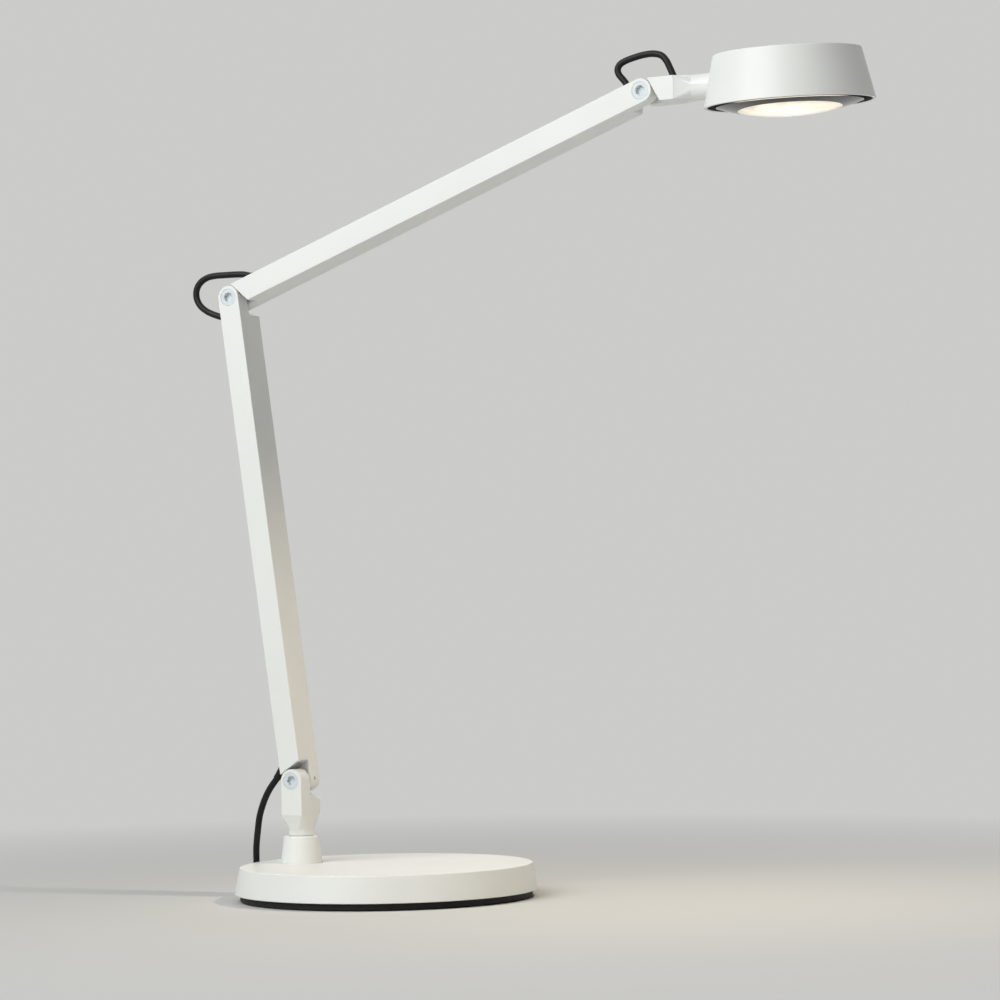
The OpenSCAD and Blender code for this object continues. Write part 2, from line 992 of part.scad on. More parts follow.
module upper_arm_grommets() {
    color(black)
        place_upper() {
            low_sleeve(elbow_port_x, 3, cable_r + 0.7);
            high_grommet();
        }
}

module elbow_cable() {
    color(black)
        cable(loop_route(elbow_loop, elbow, lower_angle, upper_rise), cable_r);
}

module head_cable() {
    color(black)
        cable(loop_route(head_loop, head_pivot, upper_rise, head_rise), cable_r);
}

// ---- head ----

module head_knuckle() {
    color(white)
        place_head_knuckle()
            difference() {
                knuckle_block(neck_end);
                nut_side_holes();
                translate([knuckle_port_x, 0, ear_r])
                    rotate([0, -knuckle_port_slant, 0])
                        translate([0, 0, -8.5])
                            cylinder(h = 12, r = cable_r + 0.3);
                translate([knuckle_port_x + 0.5, 0, 0])
                    rotate([0, 90, 0])
                        cylinder(h = neck_end, r = neck_bore_r);
            }
}

module neck_cable() {
    bend_x = knuckle_port_x + (ear_r - route_ear) * tan(knuckle_port_slant);
    color(black)
        place_head_knuckle()
            cable([
                [knuckle_port_x + 0.1, 0, ear_r - 0.2], [bend_x + 1.9, 0, 4.1],
                [bend_x + 3.6, 0, 1.6], [bend_x + 7, 0, 0.3], [bend_x + 13, 0, 0],
                [neck_end - 10, 0, 0], [neck_end + 2.5, 0, 0]
            ], cable_r - 0.1);
}

module twist_washer() {
    color(steel)
        place_head_knuckle()
            translate([boss_end + 0.3, 0, 0])
                rotate([0, 90, 0])
                    tube_between(socket_r - 0.4, neck_r, 0, 0.8);
}

module twist_clip() {
    color(steel)
        place_head_knuckle()
            translate([boss_end + 1.2, 0, 0])
                rotate([0, 90, 0])
                    tube_between(socket_r, neck_r, 0, 1.4);
}

module drum_outline() {
    hull() {
        translate([0, -drum_low])
            square([drum_r, eps]);
        translate([0, drum_above - eps])
            square([drum_top_r - drum_round, eps]);
        translate([drum_top_r - drum_round, drum_above - drum_round])
            circle(drum_round, $fn = 40);
    }
}

module drum_hollow() {
    top = drum_above - top_t;
    polygon([
        [0, -drum_low - 1], [drum_r + side_slope - drum_wall, -drum_low - 1],
        [drum_top_r + side_slope * top_t - drum_wall, top], [0, top]
    ]);
}

module along_neck(r, x0, x1) {
    translate([x0 - reach, 0, 0])
        rotate([0, 90, 0])
            cylinder(h = x1 - x0, r = r);
}

module head_screw_spots() {
    for (a = [45:90:315])
        rotate([0, 0, a])
            translate([head_screw_r, 0, 0])
                children();
}

module board_spots() {
    for (a = [90, 270])
        rotate([0, 0, a])
            translate([15, 0, 0])
                children();
}

module head_shell() {
    color(white)
        place_drum()
            difference() {
                union() {
                    difference() {
                        rotate_extrude()
                            drum_outline();
                        rotate_extrude()
                            drum_hollow();
                    }
                    along_neck(socket_r, reach - wall_r + 1.5, boss_end);
                    head_screw_spots()
                        translate([0, 0, sink_top])
                            cylinder(h = drum_above - top_t - sink_top + 0.1, r = 3.5);
                    board_spots()
                        translate([0, 0, board_z + board_t])
                            cylinder(h = drum_above - top_t - board_z - board_t + 0.1, r = 2.5);
                }
                along_neck(neck_r + run_gap, 30, boss_end + 1);
                head_screw_spots()
                    translate([0, 0, sink_top - 1])
                        cylinder(h = 9, r = 1.4);
                translate([0, 0, 10])
                    cylinder(h = 20, r = button_r + air_gap);
            }
}

function drum_inside(z) = drum_r - drum_wall - side_slope * (z + drum_low);

module bezel_ring() {
    color(black)
        place_drum()
            rotate_extrude()
                polygon([
                    [lens_r + 0.15, bezel_low + 0.5], [lens_r + 0.65, bezel_low],
                    [drum_inside(bezel_low) - seat_gap, bezel_low],
                    [drum_inside(bezel_top) - seat_gap, bezel_top], [lens_r + lens_lip + 0.2, bezel_top],
                    [lens_r + lens_lip + 0.2, bezel_lip_top], [lens_r + 0.15, bezel_lip_top]
                ]);
}

module lens() {
    flange_low = bezel_lip_top + rim_air;
    color([0.85, 0.9, 0.92, 0.5])
        place_drum() {
            intersection() {
                translate([0, 0, lens_seat - lens_bulge])
                    cylinder(h = lens_bulge + flange_low - lens_seat + 1, r = lens_r);
                translate([0, 0, lens_seat - lens_bulge + lens_ball_r])
                    sphere(lens_ball_r, $fn = 180);
            }
            translate([0, 0, flange_low])
                cylinder(h = lens_flange, r = lens_r + lens_lip);
        }
}

// white cone whose mouth lights the middle of the lens's flat back
module reflector() {
    rim_z = bezel_lip_top + lens_flange + 2 * rim_air;
    color([0.85, 0.86, 0.86])
        place_drum()
            rotate_extrude()
                polygon([
                    [throat_r, throat_z], [throat_r + cup_t, throat_z], [mouth_r + cup_t, rim_z + cup_t],
                    [lens_r + lens_lip, rim_z + cup_t], [lens_r + lens_lip, rim_z], [mouth_r, rim_z]
                ]);
}

module led_board() {
    color([0.9, 0.85, 0.4])
        place_drum() {
            translate([0, 0, -1.8])
                cylinder(h = 1.6, r = 15);
            translate([0, 0, -3.2])
                cylinder(h = 1.4, r = 7.5);
        }
}

module heat_sink() {
    color([0.7, 0.71, 0.73])
        place_drum()
            difference() {
                union() {
                    translate([0, 0, sink_low])
                        cylinder(h = sink_top - sink_low, r = sink_r);
                    for (a = fin_angles)
                        rotate([0, 0, a])
                            translate([fin_from, -fin_t / 2, sink_top - 0.5])
                                cube([sink_r - fin_from - 2, fin_t, fin_h + 0.5]);
                }
                head_screw_spots()
                    cylinder(h = 20, r = 1.5, center = true);
                head_screw_spots()
                    translate([0, 0, sink_top])
                        cylinder(h = 20, r = 4.2);
                along_neck(socket_r + 2, 30, neck_end + 3);
            }
}

module dimmer_board() {
    color([0.1, 0.35, 0.2])
        place_drum() {
            translate([0, 0, board_z])
                cylinder(h = board_t, r = 18);
            translate([-3, -3, board_z + board_t])
                cube([6, 6, switch_h]);
        }
}

module head_screws() {
    color(steel)
        place_drum()
            head_screw_spots() {
                translate([0, 0, sink_low - 1.8])
                    cylinder(h = 1.8, r = 2.6);
                translate([0, 0, sink_low - 0.1])
                    cylinder(h = 9, r = 1.4);
            }
}

module dimmer_button() {
    cap_low = drum_above - top_t - air_gap;
    foot_z = board_z + board_t + switch_h + button_travel + 0.2;
    color(white)
        place_drum() {
            translate([0, 0, cap_low])
                cylinder(h = drum_above + button_proud - cap_low, r = button_r);
            translate([0, 0, cap_low - 1])
                cylinder(h = 1, r = button_r + 1.2);
            translate([0, 0, foot_z])
                cylinder(h = cap_low - 1 - foot_z, r = 2.4);
        }
}

// ---- power cord, its stored coil and the plug ----

module power_cord() {
    color(black)
        cable(cord_route, cable_r);
}

module power_cord_coil() {
    color(black)
        place_coil()
            rotate_extrude()
                translate([coil_in, coil_low])
                    polygon([
                        [1.2, 0], [coil_out - coil_in - 1.2, 0], [coil_out - coil_in, 1.2],
                        [coil_out - coil_in, coil_h - 1.2], [coil_out - coil_in - 1.2, coil_h],
                        [1.2, coil_h], [0, coil_h - 1.2], [0, 1.2]
                    ]);
}

// a short band around all the turns of the coil
module cord_tie() {
    color(black)
        place_coil()
            rotate([0, 0, -32])
                rotate_extrude(angle = 14)
                    difference() {
                        translate([coil_in - 0.8, 0])
                            square([coil_out - coil_in + 1.6, coil_low + coil_h + 0.6]);
                        translate([coil_in, coil_low])
                            square([coil_out - coil_in, coil_h]);
                    }
}

module plug_lead() {
    color(black)
        cable(plug_route, cable_r);
}

module plug_body() {
    color(black)
        translate([plug_x, plug_y, 0])
            difference() {
                hull() {
                    translate([8, -plug_w / 2 + 4, 0.6])
                        cube([plug_len - 8, plug_w - 8, plug_h - 1.2]);
                    translate([12, -plug_w / 2, 4])
                        cube([plug_len - 12, plug_w, plug_h - 8]);
                    translate([12, -plug_w / 2 + 6, 0])
                        cube([plug_len - 12, plug_w - 12, plug_h]);
                    translate([0, 0, plug_h / 2])
                        rotate([0, 90, 0])
                            cylinder(h = 1, r = cable_r + 1.6, $fn = 24);
                }
                for (s = [-1, 1])
                    translate([plug_len - pin_root, s * pin_space / 2, plug_h / 2])
                        rotate([0, 90, 0])
                            cylinder(h = pin_root + 1, r = pin_root_r);
            }
}

module plug_pins() {
    color(steel)
        for (s = [-1, 1])
            translate([plug_x + plug_len, plug_y + s * pin_space / 2, plug_h / 2])
                rotate([0, 90, 0]) {
                    cylinder(h = pin_len, r = pin_r);
                    translate([0, 0, -pin_root])
                        cylinder(h = pin_root + 1, r = pin_root_r);
                }
}

foot_pad();
base_plate();
base_weight();
base_cover();
base_screws();
collar();
collar_bush();
collar_nut();
foot_knuckle();
stem_pin();
stem_clip();
foot_bolt();
foot_springs();
foot_nut();
foot_disc();
foot_sleeve();
lower_arm_tube();
lower_arm_foot_insert();
lower_arm_elbow_insert();
lower_arm_screws();
lower_arm_cable();
lower_arm_grommet();
cord_relief();
elbow_bolt();
elbow_springs();
elbow_nut();
elbow_disc();
elbow_sleeve();
elbow_cable();
upper_arm_tube();
upper_arm_elbow_insert();
upper_arm_head_insert();
upper_arm_screws();
upper_arm_cable();
upper_arm_grommets();
head_bolt();
head_springs();
head_nut();
head_disc();
head_sleeve();
head_cable();
head_knuckle();
neck_cable();
twist_washer();
twist_clip();
head_shell();
bezel_ring();
lens();
reflector();
led_board();
heat_sink();
dimmer_board();
head_screws();
dimmer_button();
power_cord();
power_cord_coil();
cord_tie();
plug_lead();
plug_body();
plug_pins();
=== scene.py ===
"""Desk lamp with two arms and a drum head on a round base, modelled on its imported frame."""

import json
import math

import bpy
from mathutils import Matrix, Vector

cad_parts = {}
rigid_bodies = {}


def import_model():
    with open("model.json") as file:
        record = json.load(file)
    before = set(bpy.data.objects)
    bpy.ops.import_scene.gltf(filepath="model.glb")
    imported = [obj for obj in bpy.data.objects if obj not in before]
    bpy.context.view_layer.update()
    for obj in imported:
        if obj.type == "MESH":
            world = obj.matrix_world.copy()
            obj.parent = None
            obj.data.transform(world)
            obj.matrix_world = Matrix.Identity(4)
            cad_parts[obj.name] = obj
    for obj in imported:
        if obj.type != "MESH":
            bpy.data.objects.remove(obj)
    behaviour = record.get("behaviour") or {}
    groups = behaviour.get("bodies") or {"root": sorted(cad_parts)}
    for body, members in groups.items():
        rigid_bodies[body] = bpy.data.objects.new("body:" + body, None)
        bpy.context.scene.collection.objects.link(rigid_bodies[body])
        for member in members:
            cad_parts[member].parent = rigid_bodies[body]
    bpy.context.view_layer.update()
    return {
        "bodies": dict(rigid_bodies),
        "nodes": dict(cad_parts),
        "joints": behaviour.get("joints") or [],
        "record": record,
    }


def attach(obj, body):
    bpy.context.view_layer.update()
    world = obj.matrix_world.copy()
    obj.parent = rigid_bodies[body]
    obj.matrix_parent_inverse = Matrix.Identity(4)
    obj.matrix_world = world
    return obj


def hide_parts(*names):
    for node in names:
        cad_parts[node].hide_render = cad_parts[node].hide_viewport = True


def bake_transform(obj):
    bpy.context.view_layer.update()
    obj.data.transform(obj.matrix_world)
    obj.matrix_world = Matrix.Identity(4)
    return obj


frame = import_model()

bl_info = {
    "name": "Desk lamp on a round base",
    "version": (1, 0, 0),
    "blender": (4, 5, 0),
    "location": "3D View > Sidebar > Desk lamp",
    "description": "Models a jointed desk lamp piece by piece on its packed frame",
    "category": "Object",
}

MM = 0.001
JOINTS = {joint["name"]: joint for joint in frame["joints"]}
NODES = frame["nodes"]

# ---- places, read from the frame ----

Y_AXIS = Vector((0, 1, 0))


def joint_place(name):
    return Vector(JOINTS[name]["pos_m"])


def joint_axis(name):
    return Vector(JOINTS[name]["axis"]).normalized()


def local_frame(origin, along, width):
    """Matrix whose X runs along a piece and whose Y runs across it."""
    along = along.normalized()
    up = along.cross(width).normalized()
    across = up.cross(along)
    matrix = Matrix((along, across, up)).transposed().to_4x4()
    matrix.translation = origin
    return matrix


FOOT_PIVOT = joint_place("foot_pivot")
ELBOW = joint_place("elbow_pivot")
HEAD_PIVOT = joint_place("head_tilt")
SWIVEL = Vector((FOOT_PIVOT.x, 0, 0))
ARM_LENGTH = (ELBOW - FOOT_PIVOT).length
NECK_AXIS = joint_axis("head_twist")
DRUM_UP = -joint_axis("button_press")
HEAD_REACH = 101.6771 * MM  # from the head pivot to the drum's axis
LOWER = local_frame(FOOT_PIVOT, ELBOW - FOOT_PIVOT, Y_AXIS)
UPPER = local_frame(ELBOW, HEAD_PIVOT - ELBOW, Y_AXIS)
HEAD_KNUCKLE = local_frame(HEAD_PIVOT, NECK_AXIS, Y_AXIS)
FOOT_KNUCKLE = local_frame(FOOT_PIVOT, Vector((0, 0, -1)), -Y_AXIS)
DRUM = local_frame(HEAD_PIVOT + HEAD_REACH * NECK_AXIS, NECK_AXIS, DRUM_UP.cross(NECK_AXIS))

# ---- sizes and colours that a user would change ----


def length(label, about, millimetres):
    return bpy.props.FloatProperty(
        name=label, description=about, default=millimetres * MM, unit="LENGTH", precision=5
    )


def tint(label, about, colour):
    return bpy.props.FloatVectorProperty(
        name=label, description=about, default=colour, size=3, min=0, max=1, subtype="COLOR"
    )


class BaseSizes(bpy.types.PropertyGroup):
    rim_radius: length("Rim radius", "Radius of the cover at its lower rim", 105)
    top_radius: length("Top radius", "Radius of the cover at its top, before the round", 101.8)
    cover_low: length("Cover low", "Height of the cover's lower rim", 5)
    cover_high: length("Cover high", "Height of the cover's top", 23.5)
    cover_wall: length("Cover wall", "Wall of the cover", 3)
    top_round: length("Top round", "Radius of the cover's top edge", 0.8)
    pad_radius: length("Pad radius", "Radius of the black pad", 101.5)
    collar_low: length("Collar foot", "Radius of the collar on the cover", 14.7)
    collar_high: length("Collar top", "Radius of the collar at its top", 12.5)
    collar_height: length("Collar height", "Height of the collar", 19)
    collar_bore: length("Collar bore", "Radius of the hole in the collar", 7.5)


class ArmSizes(bpy.types.PropertyGroup):
    depth: length("Arm depth", "Depth of an arm in the plane it folds in", 16.2)
    width: length("Arm width", "Width of an arm along its pivots", 27)
    wall: length("Arm wall", "Wall of the hollow arm", 1.6)
    lap_gap: length("Lap gap", "Gap between the ears of a hinge", 1.2)
    shoulder: length("Shoulder", "Distance of a shoulder's face from its pivot", 8.45)
    bolt_radius: length("Bolt radius", "Radius of a hinge bolt's head", 5.95)
    block: length("Block", "Length of a knuckle's square block", 24.5)
    taper: length("Taper", "Length of a knuckle's taper", 10.5)
    neck_radius: length("Neck radius", "Radius of a knuckle's round neck", 8.8)
    edge: length("Edge round", "Round on the edges of arms and knuckles", 0.45)


class HeadSizes(bpy.types.PropertyGroup):
    rim_radius: length("Drum rim", "Radius of the drum at its open rim", 57)
    top_radius: length("Drum top", "Radius of the drum at its top", 49.4)
    above: length("Above the neck", "Height of the drum above the neck's axis", 17.6)
    below: length("Below the neck", "Depth of the drum below the neck's axis", 16.9)
    wall: length("Drum wall", "Wall of the drum", 2.2)
    top_round: length("Top round", "Radius of the drum's top edge", 1)
    lens_radius: length("Lens radius", "Radius of the lens in its ring", 49)
    lens_bulge: length("Lens bulge", "How far the lens stands out of its ring", 8)
    glow_radius: length("Glow radius", "Radius of the lit disc on the lens's back", 33)
    button_radius: length("Button radius", "Radius of the dimmer button", 9)


class CableSizes(bpy.types.PropertyGroup):
    diameter: length("Cable", "Diameter of the cord and the cable loops", 4.6)
    coil_across: length("Coil", "Diameter of the stored coil at mid-turn", 55)


class Colours(bpy.types.PropertyGroup):
    coat: tint("Coat", "White powder coat", (0.80, 0.81, 0.79))
    rubber: tint("Rubber", "Black pad and rings", (0.007, 0.007, 0.007))
    cable: tint("Cable", "Black cable jacket", (0.006, 0.006, 0.007))
    zinc: tint("Zinc", "Blue zinc plating of bolts and nuts", (0.65, 0.70, 0.73))
    glow: tint("Glow", "Colour of the lamp's light", (1.0, 0.86, 0.66))
    floor: tint("Floor", "Pale floor and background", (0.60, 0.60, 0.59))


class LampSettings(bpy.types.PropertyGroup):
    base: bpy.props.PointerProperty(type=BaseSizes, name="Base", description="Sizes of the base")
    arm: bpy.props.PointerProperty(type=ArmSizes, name="Arms", description="Sizes of arms and knuckles")
    head: bpy.props.PointerProperty(type=HeadSizes, name="Head", description="Sizes of the drum head")
    cable: bpy.props.PointerProperty(type=CableSizes, name="Cables", description="Sizes of the cables")
    colour: bpy.props.PointerProperty(type=Colours, name="Colours", description="Colours of the finishes")


def settings():
    return bpy.context.scene.desk_lamp


# ---- modelling, as by hand ----


def only(piece):
    bpy.ops.object.select_all(action="DESELECT")
    piece.select_set(True)
    bpy.context.view_layer.objects.active = piece


def named(name):
    piece = bpy.context.object
    piece.name = name
    piece.data.name = name
    return piece


def settle(piece):
    """Puts the piece's place into its mesh."""
    only(piece)
    bpy.ops.object.transform_apply(location=True, rotation=True, scale=True)
    return piece


def place(piece, matrix):
    piece.matrix_world = matrix
    return settle(piece)


def block(name, low, high):
    """A box from its lowest to its highest corner."""
    low = Vector(low)
    high = Vector(high)
    bpy.ops.object.select_all(action="DESELECT")
    bpy.ops.mesh.primitive_cube_add(size=1, location=(low + high) / 2, scale=high - low)
    return settle(named(name))


def spanning(start, end):
    """Length, place and turn of a primitive that runs from one point to another."""
    start = Vector(start)
    end = Vector(end)
    turn = (end - start).to_track_quat("Z", "Y").to_euler()
    return {"depth": (end - start).length, "location": (start + end) / 2, "rotation": turn}


def rod(name, radius, start, end, sides=64):
    bpy.ops.object.select_all(action="DESELECT")
    bpy.ops.mesh.primitive_cylinder_add(vertices=sides, radius=radius, **spanning(start, end))
    return settle(named(name))


def cone(name, first_radius, last_radius, start, end, sides=48):
    bpy.ops.object.select_all(action="DESELECT")
    bpy.ops.mesh.primitive_cone_add(
        vertices=sides, radius1=first_radius, radius2=last_radius, **spanning(start, end)
    )
    return settle(named(name))


def outline(*points):
    """Profile points given in millimetres."""
    return [(radius * MM, height * MM) for radius, height in points]


def arc(centre, radius, first, last, steps=8):
    """Profile points on an arc; angles in degrees, measured from outwards towards up."""
    angles = [math.radians(first + (last - first) * i / steps) for i in range(steps + 1)]
    return [(centre[0] + radius * math.cos(a), centre[1] + radius * math.sin(a)) for a in angles]


def clean(piece):
    """Merges doubles, closes open rims and turns all faces outwards."""
    only(piece)
    bpy.ops.object.mode_set(mode="EDIT")
    bpy.ops.mesh.select_all(action="SELECT")
    bpy.ops.mesh.remove_doubles(threshold=1e-7)
    bpy.ops.mesh.fill_holes(sides=0)
    bpy.ops.mesh.select_all(action="SELECT")
    bpy.ops.mesh.normals_make_consistent(inside=False)
    bpy.ops.object.mode_set(mode="OBJECT")
    return piece


def turned(name, profile, sides=128, crease=30):
    """A piece turned round Z: a ring is extruded and resized through the profile's points."""
    radius, height = profile[0]
    bpy.ops.object.select_all(action="DESELECT")
    bpy.ops.mesh.primitive_circle_add(vertices=sides, radius=radius, location=(0, 0, height))
    piece = settle(named(name))
    bpy.ops.object.mode_set(mode="EDIT")
    bpy.ops.mesh.select_mode(type="EDGE")
    bpy.ops.mesh.select_all(action="SELECT")
    for next_radius, next_height in profile[1:]:
        bpy.ops.mesh.extrude_edges_move(
            TRANSFORM_OT_translate={"value": (0, 0, next_height - height), "orient_type": "GLOBAL"}
        )
        factor = next_radius / radius
        bpy.ops.transform.resize(value=(factor, factor, 1), center_override=(0, 0, next_height))
        radius = next_radius
        height = next_height
    bpy.ops.object.mode_set(mode="OBJECT")
    clean(piece)
    return smooth(piece, crease)


def smooth(piece, crease=30):
    only(piece)
    bpy.ops.object.shade_smooth_by_angle(angle=math.radians(crease))
    return piece


def combine(piece, tool, operation):
    """Joins a tool to a piece or cuts it out, and removes the tool."""
    step = piece.modifiers.new(operation.lower(), "BOOLEAN")
    step.operation = operation
    step.solver = "EXACT"
    step.object = tool
    only(piece)
    bpy.ops.object.modifier_apply(modifier=step.name)
    bpy.data.objects.remove(tool)
    return piece


def cut(piece, *tools):
    for tool in tools:
        combine(piece, tool, "DIFFERENCE")
    return piece


def fuse(piece, *tools):
    for tool in tools:
        combine(piece, tool, "UNION")
    return piece


def soften(piece, width, steps=3, crease=30):
    """Rounds the sharp edges."""
    only(piece)
    bpy.ops.object.mode_set(mode="EDIT")
    bpy.ops.mesh.select_all(action="SELECT")
    bpy.ops.mesh.remove_doubles(threshold=2e-6)
    bpy.ops.mesh.dissolve_limited(angle_limit=math.radians(0.5))
    bpy.ops.object.mode_set(mode="OBJECT")
    step = piece.modifiers.new("edges", "BEVEL")
    step.width = width
    step.segments = steps
    step.limit_method = "ANGLE"
    step.angle_limit = math.radians(crease)
    step.miter_outer = "MITER_ARC"
    bpy.ops.object.modifier_apply(modifier=step.name)
    return smooth(piece, crease + 10)


def rounded_route(points, step):
    """Points a step apart on a smooth curve through the route's points."""
    points = [Vector(p) for p in points]
    ends = [2 * points[0] - points[1]] + points + [2 * points[-1] - points[-2]]
    dense = []
    for before, here, after, beyond in zip(ends, ends[1:], ends[2:], ends[3:]):
        count = max(2, round((after - here).length / step))
        for i in range(count):
            t = i / count
            dense.append(
                0.5 * (
                    2 * here + (after - before) * t
                    + (2 * before - 5 * here + 4 * after - beyond) * t ** 2
                    + (3 * here - before - 3 * after + beyond) * t ** 3
                )
            )
    return dense + [points[-1]]


def cable(name, points, radius, sides=24):
    """A round tube along a route, made a mesh."""
    line = bpy.data.curves.new(name, "CURVE")
    line.dimensions = "3D"
    line.bevel_depth = radius
    line.bevel_resolution = sides // 4 - 2
    line.use_fill_caps = True
    spline = line.splines.new("POLY")
    spline.points.add(len(points) - 1)
    for spot, point in zip(spline.points, points):
        spot.co = (*point, 1)
    piece = bpy.data.objects.new(name, line)
    bpy.context.collection.objects.link(piece)
    only(piece)
    bpy.ops.object.convert(target="MESH")
    piece = named(name)
    clean(piece)
    return smooth(piece, 60)


def dress(piece, material, body, slot, *nodes):
    """Gives a finished piece its finish and its body, and hides the CAD nodes it stands for."""
    piece.data.materials.clear()
    piece.data.materials.append(material)
    if body:
        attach(piece, body)
    if nodes:
        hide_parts(*nodes)
    return piece


# ---- finishes ----


class Finish:
    """A material with the node steps that its detail is built from."""

    def __init__(self, name):
        self.material = bpy.data.materials.new(name)
        self.material.use_nodes = True
        self.nodes = self.material.node_tree.nodes
        self.links = self.material.node_tree.links
        self.shader = self.nodes["Principled BSDF"]
        self.place = self.nodes.new("ShaderNodeTexCoord").outputs["Object"]

    def node(self, kind, **values):
        made = self.nodes.new(kind)
        for key, value in values.items():
            setattr(made, key, value)
        return made

    def centred(self, centre):
        """Object coordinates measured from a point of the piece."""
        shift = self.node("ShaderNodeMapping", vector_type="TEXTURE")
        shift.inputs["Location"].default_value = centre
        self.links.new(self.place, shift.inputs["Vector"])
        return shift.outputs["Vector"]

    def distance(self, place):
        """Distance from the origin of the coordinates."""
        made = self.node("ShaderNodeVectorMath", operation="LENGTH")
        self.links.new(place, made.inputs[0])
        return made.outputs["Value"]

    def noise(self, size, detail=4, roughness=0.5, place=None):
        """Noise whose spots are about size across."""
        made = self.node("ShaderNodeTexNoise")
        made.inputs["Scale"].default_value = 1 / size
        made.inputs["Detail"].default_value = detail
        made.inputs["Roughness"].default_value = roughness
        self.links.new(place or self.place, made.inputs["Vector"])
        return made.outputs["Fac"]

    def between(self, value, low, high, from_low=0.3, from_high=0.7):
        made = self.node("ShaderNodeMapRange")
        for key, number in (
            ("From Min", from_low), ("From Max", from_high), ("To Min", low), ("To Max", high)
        ):
            made.inputs[key].default_value = number
        self.links.new(value, made.inputs["Value"])
        return made.outputs["Result"]

    def mottle(self, value, first, second, low=0.3, high=0.7):
        """Base colour that drifts between two near colours."""
        ramp = self.node("ShaderNodeValToRGB")
        ramp.color_ramp.elements[0].position = low
        ramp.color_ramp.elements[0].color = (*first, 1)
        ramp.color_ramp.elements[1].position = high
        ramp.color_ramp.elements[1].color = (*second, 1)
        self.links.new(value, ramp.inputs["Fac"])
        self.links.new(ramp.outputs["Color"], self.shader.inputs["Base Color"])
        return self

    def rough(self, value, low, high):
        self.links.new(self.between(value, low, high), self.shader.inputs["Roughness"])
        return self

    def bump(self, value, depth, strength=1.0):
        made = self.node("ShaderNodeBump")
        made.inputs["Distance"].default_value = depth
        made.inputs["Strength"].default_value = strength
        self.links.new(value, made.inputs["Height"])
        previous = self.shader.inputs["Normal"]
        if previous.is_linked:
            self.links.new(previous.links[0].from_socket, made.inputs["Normal"])
        self.links.new(made.outputs["Normal"], previous)
        return self

    def rings(self, place, size, axis):
        """Turning marks round an axis of the coordinates."""
        made = self.node("ShaderNodeTexWave", wave_type="RINGS", rings_direction=axis)
        made.inputs["Scale"].default_value = 0.314 / size
        made.inputs["Distortion"].default_value = 0.4
        made.inputs["Detail"].default_value = 2
        self.links.new(place, made.inputs["Vector"])
        return made.outputs["Fac"]

    def set(self, **numbers):
        names = {
            "metallic": "Metallic", "roughness": "Roughness", "ior": "IOR",
            "specular": "Specular IOR Level", "transmission": "Transmission Weight",
            "glow": "Emission Strength",
        }
        for key, number in numbers.items():
            self.shader.inputs[names[key]].default_value = number
        return self

    def colour(self, rgb):
        self.shader.inputs["Base Color"].default_value = (*rgb, 1)
        return self


def shade(colour, factor):
    return tuple(min(1, c * factor) for c in colour)


def powder_coat(name, colour):
    """Satin powder coat: fine orange peel, faint clouding."""
    made = Finish(name)
    made.mottle(made.noise(60 * MM), shade(colour, 0.975), shade(colour, 1.01))
    made.rough(made.noise(9 * MM), 0.36, 0.44)
    made.bump(made.noise(0.9 * MM, 2), 0.02 * MM, 0.35)
    made.bump(made.noise(4 * MM, 3), 0.04 * MM, 0.3)
    return made.set(specular=0.45).material


def rubber(name, colour, grain=0.7 * MM):
    """Dull rubber with a fine grain."""
    made = Finish(name)
    made.mottle(made.noise(12 * MM), shade(colour, 0.8), shade(colour, 1.5))
    made.rough(made.noise(3 * MM), 0.55, 0.72)
    made.bump(made.noise(grain, 3), 0.05 * MM, 0.6)
    return made.set(specular=0.3).material


def cable_jacket(name, colour):
    """Smooth extruded jacket with a slight gloss and handling marks."""
    made = Finish(name)
    made.mottle(made.noise(7 * MM), shade(colour, 0.8), shade(colour, 1.6))
    made.rough(made.noise(5 * MM), 0.4, 0.52)
    made.bump(made.noise(1.1 * MM, 3), 0.02 * MM, 0.5)
    return made.set(specular=0.25).material


def moulded(name, colour, low, high, specular=0.5):
    """Moulded plastic; low and high are the limits of its roughness."""
    made = Finish(name)
    made.mottle(made.noise(20 * MM), shade(colour, 0.95), shade(colour, 1.06))
    made.rough(made.noise(2.5 * MM), low, high)
    made.bump(made.noise(0.6 * MM, 2), 0.015 * MM, 0.5)
    return made.set(specular=specular).material


def turned_metal(name, colour, centre, gloss=0.6):
    """Dull plated metal with fine turning marks round the Y axis through its centre."""
    made = Finish(name)
    place = made.centred(centre)
    marks = made.rings(place, 0.22 * MM, "Y")
    made.mottle(made.noise(4 * MM), shade(colour, 0.95), shade(colour, 1.04))
    made.rough(marks, gloss, gloss + 0.1)
    made.bump(marks, 0.003 * MM, 0.4)
    return made.set(metallic=0.3, specular=0.3).material


def milled_metal(name, colour, low=0.32, high=0.5):
    """Bare or plated metal with fine tool marks."""
    made = Finish(name)
    made.mottle(made.noise(6 * MM), shade(colour, 0.9), shade(colour, 1.06))
    made.rough(made.noise(1.2 * MM, 4, 0.6), low, high)
    made.bump(made.noise(0.35 * MM, 2), 0.01 * MM, 0.6)
    return made.set(metallic=1).material


def cast_metal(name, colour):
    """Rough cast iron."""
    made = Finish(name)
    made.mottle(made.noise(5 * MM), shade(colour, 0.7), shade(colour, 1.25))
    made.rough(made.noise(2 * MM), 0.6, 0.8)
    made.bump(made.noise(1.2 * MM, 5, 0.6), 0.2 * MM, 0.7)
    return made.set(metallic=0.6).material


def clear_plastic(name):
    """Clear plastic with a faint waviness."""
    made = Finish(name)
    made.colour((0.96, 0.97, 0.95))
    made.rough(made.noise(14 * MM), 0.03, 0.07)
    made.bump(made.noise(9 * MM, 2), 0.02 * MM, 0.3)
    return made.set(transmission=1, ior=1.49).material


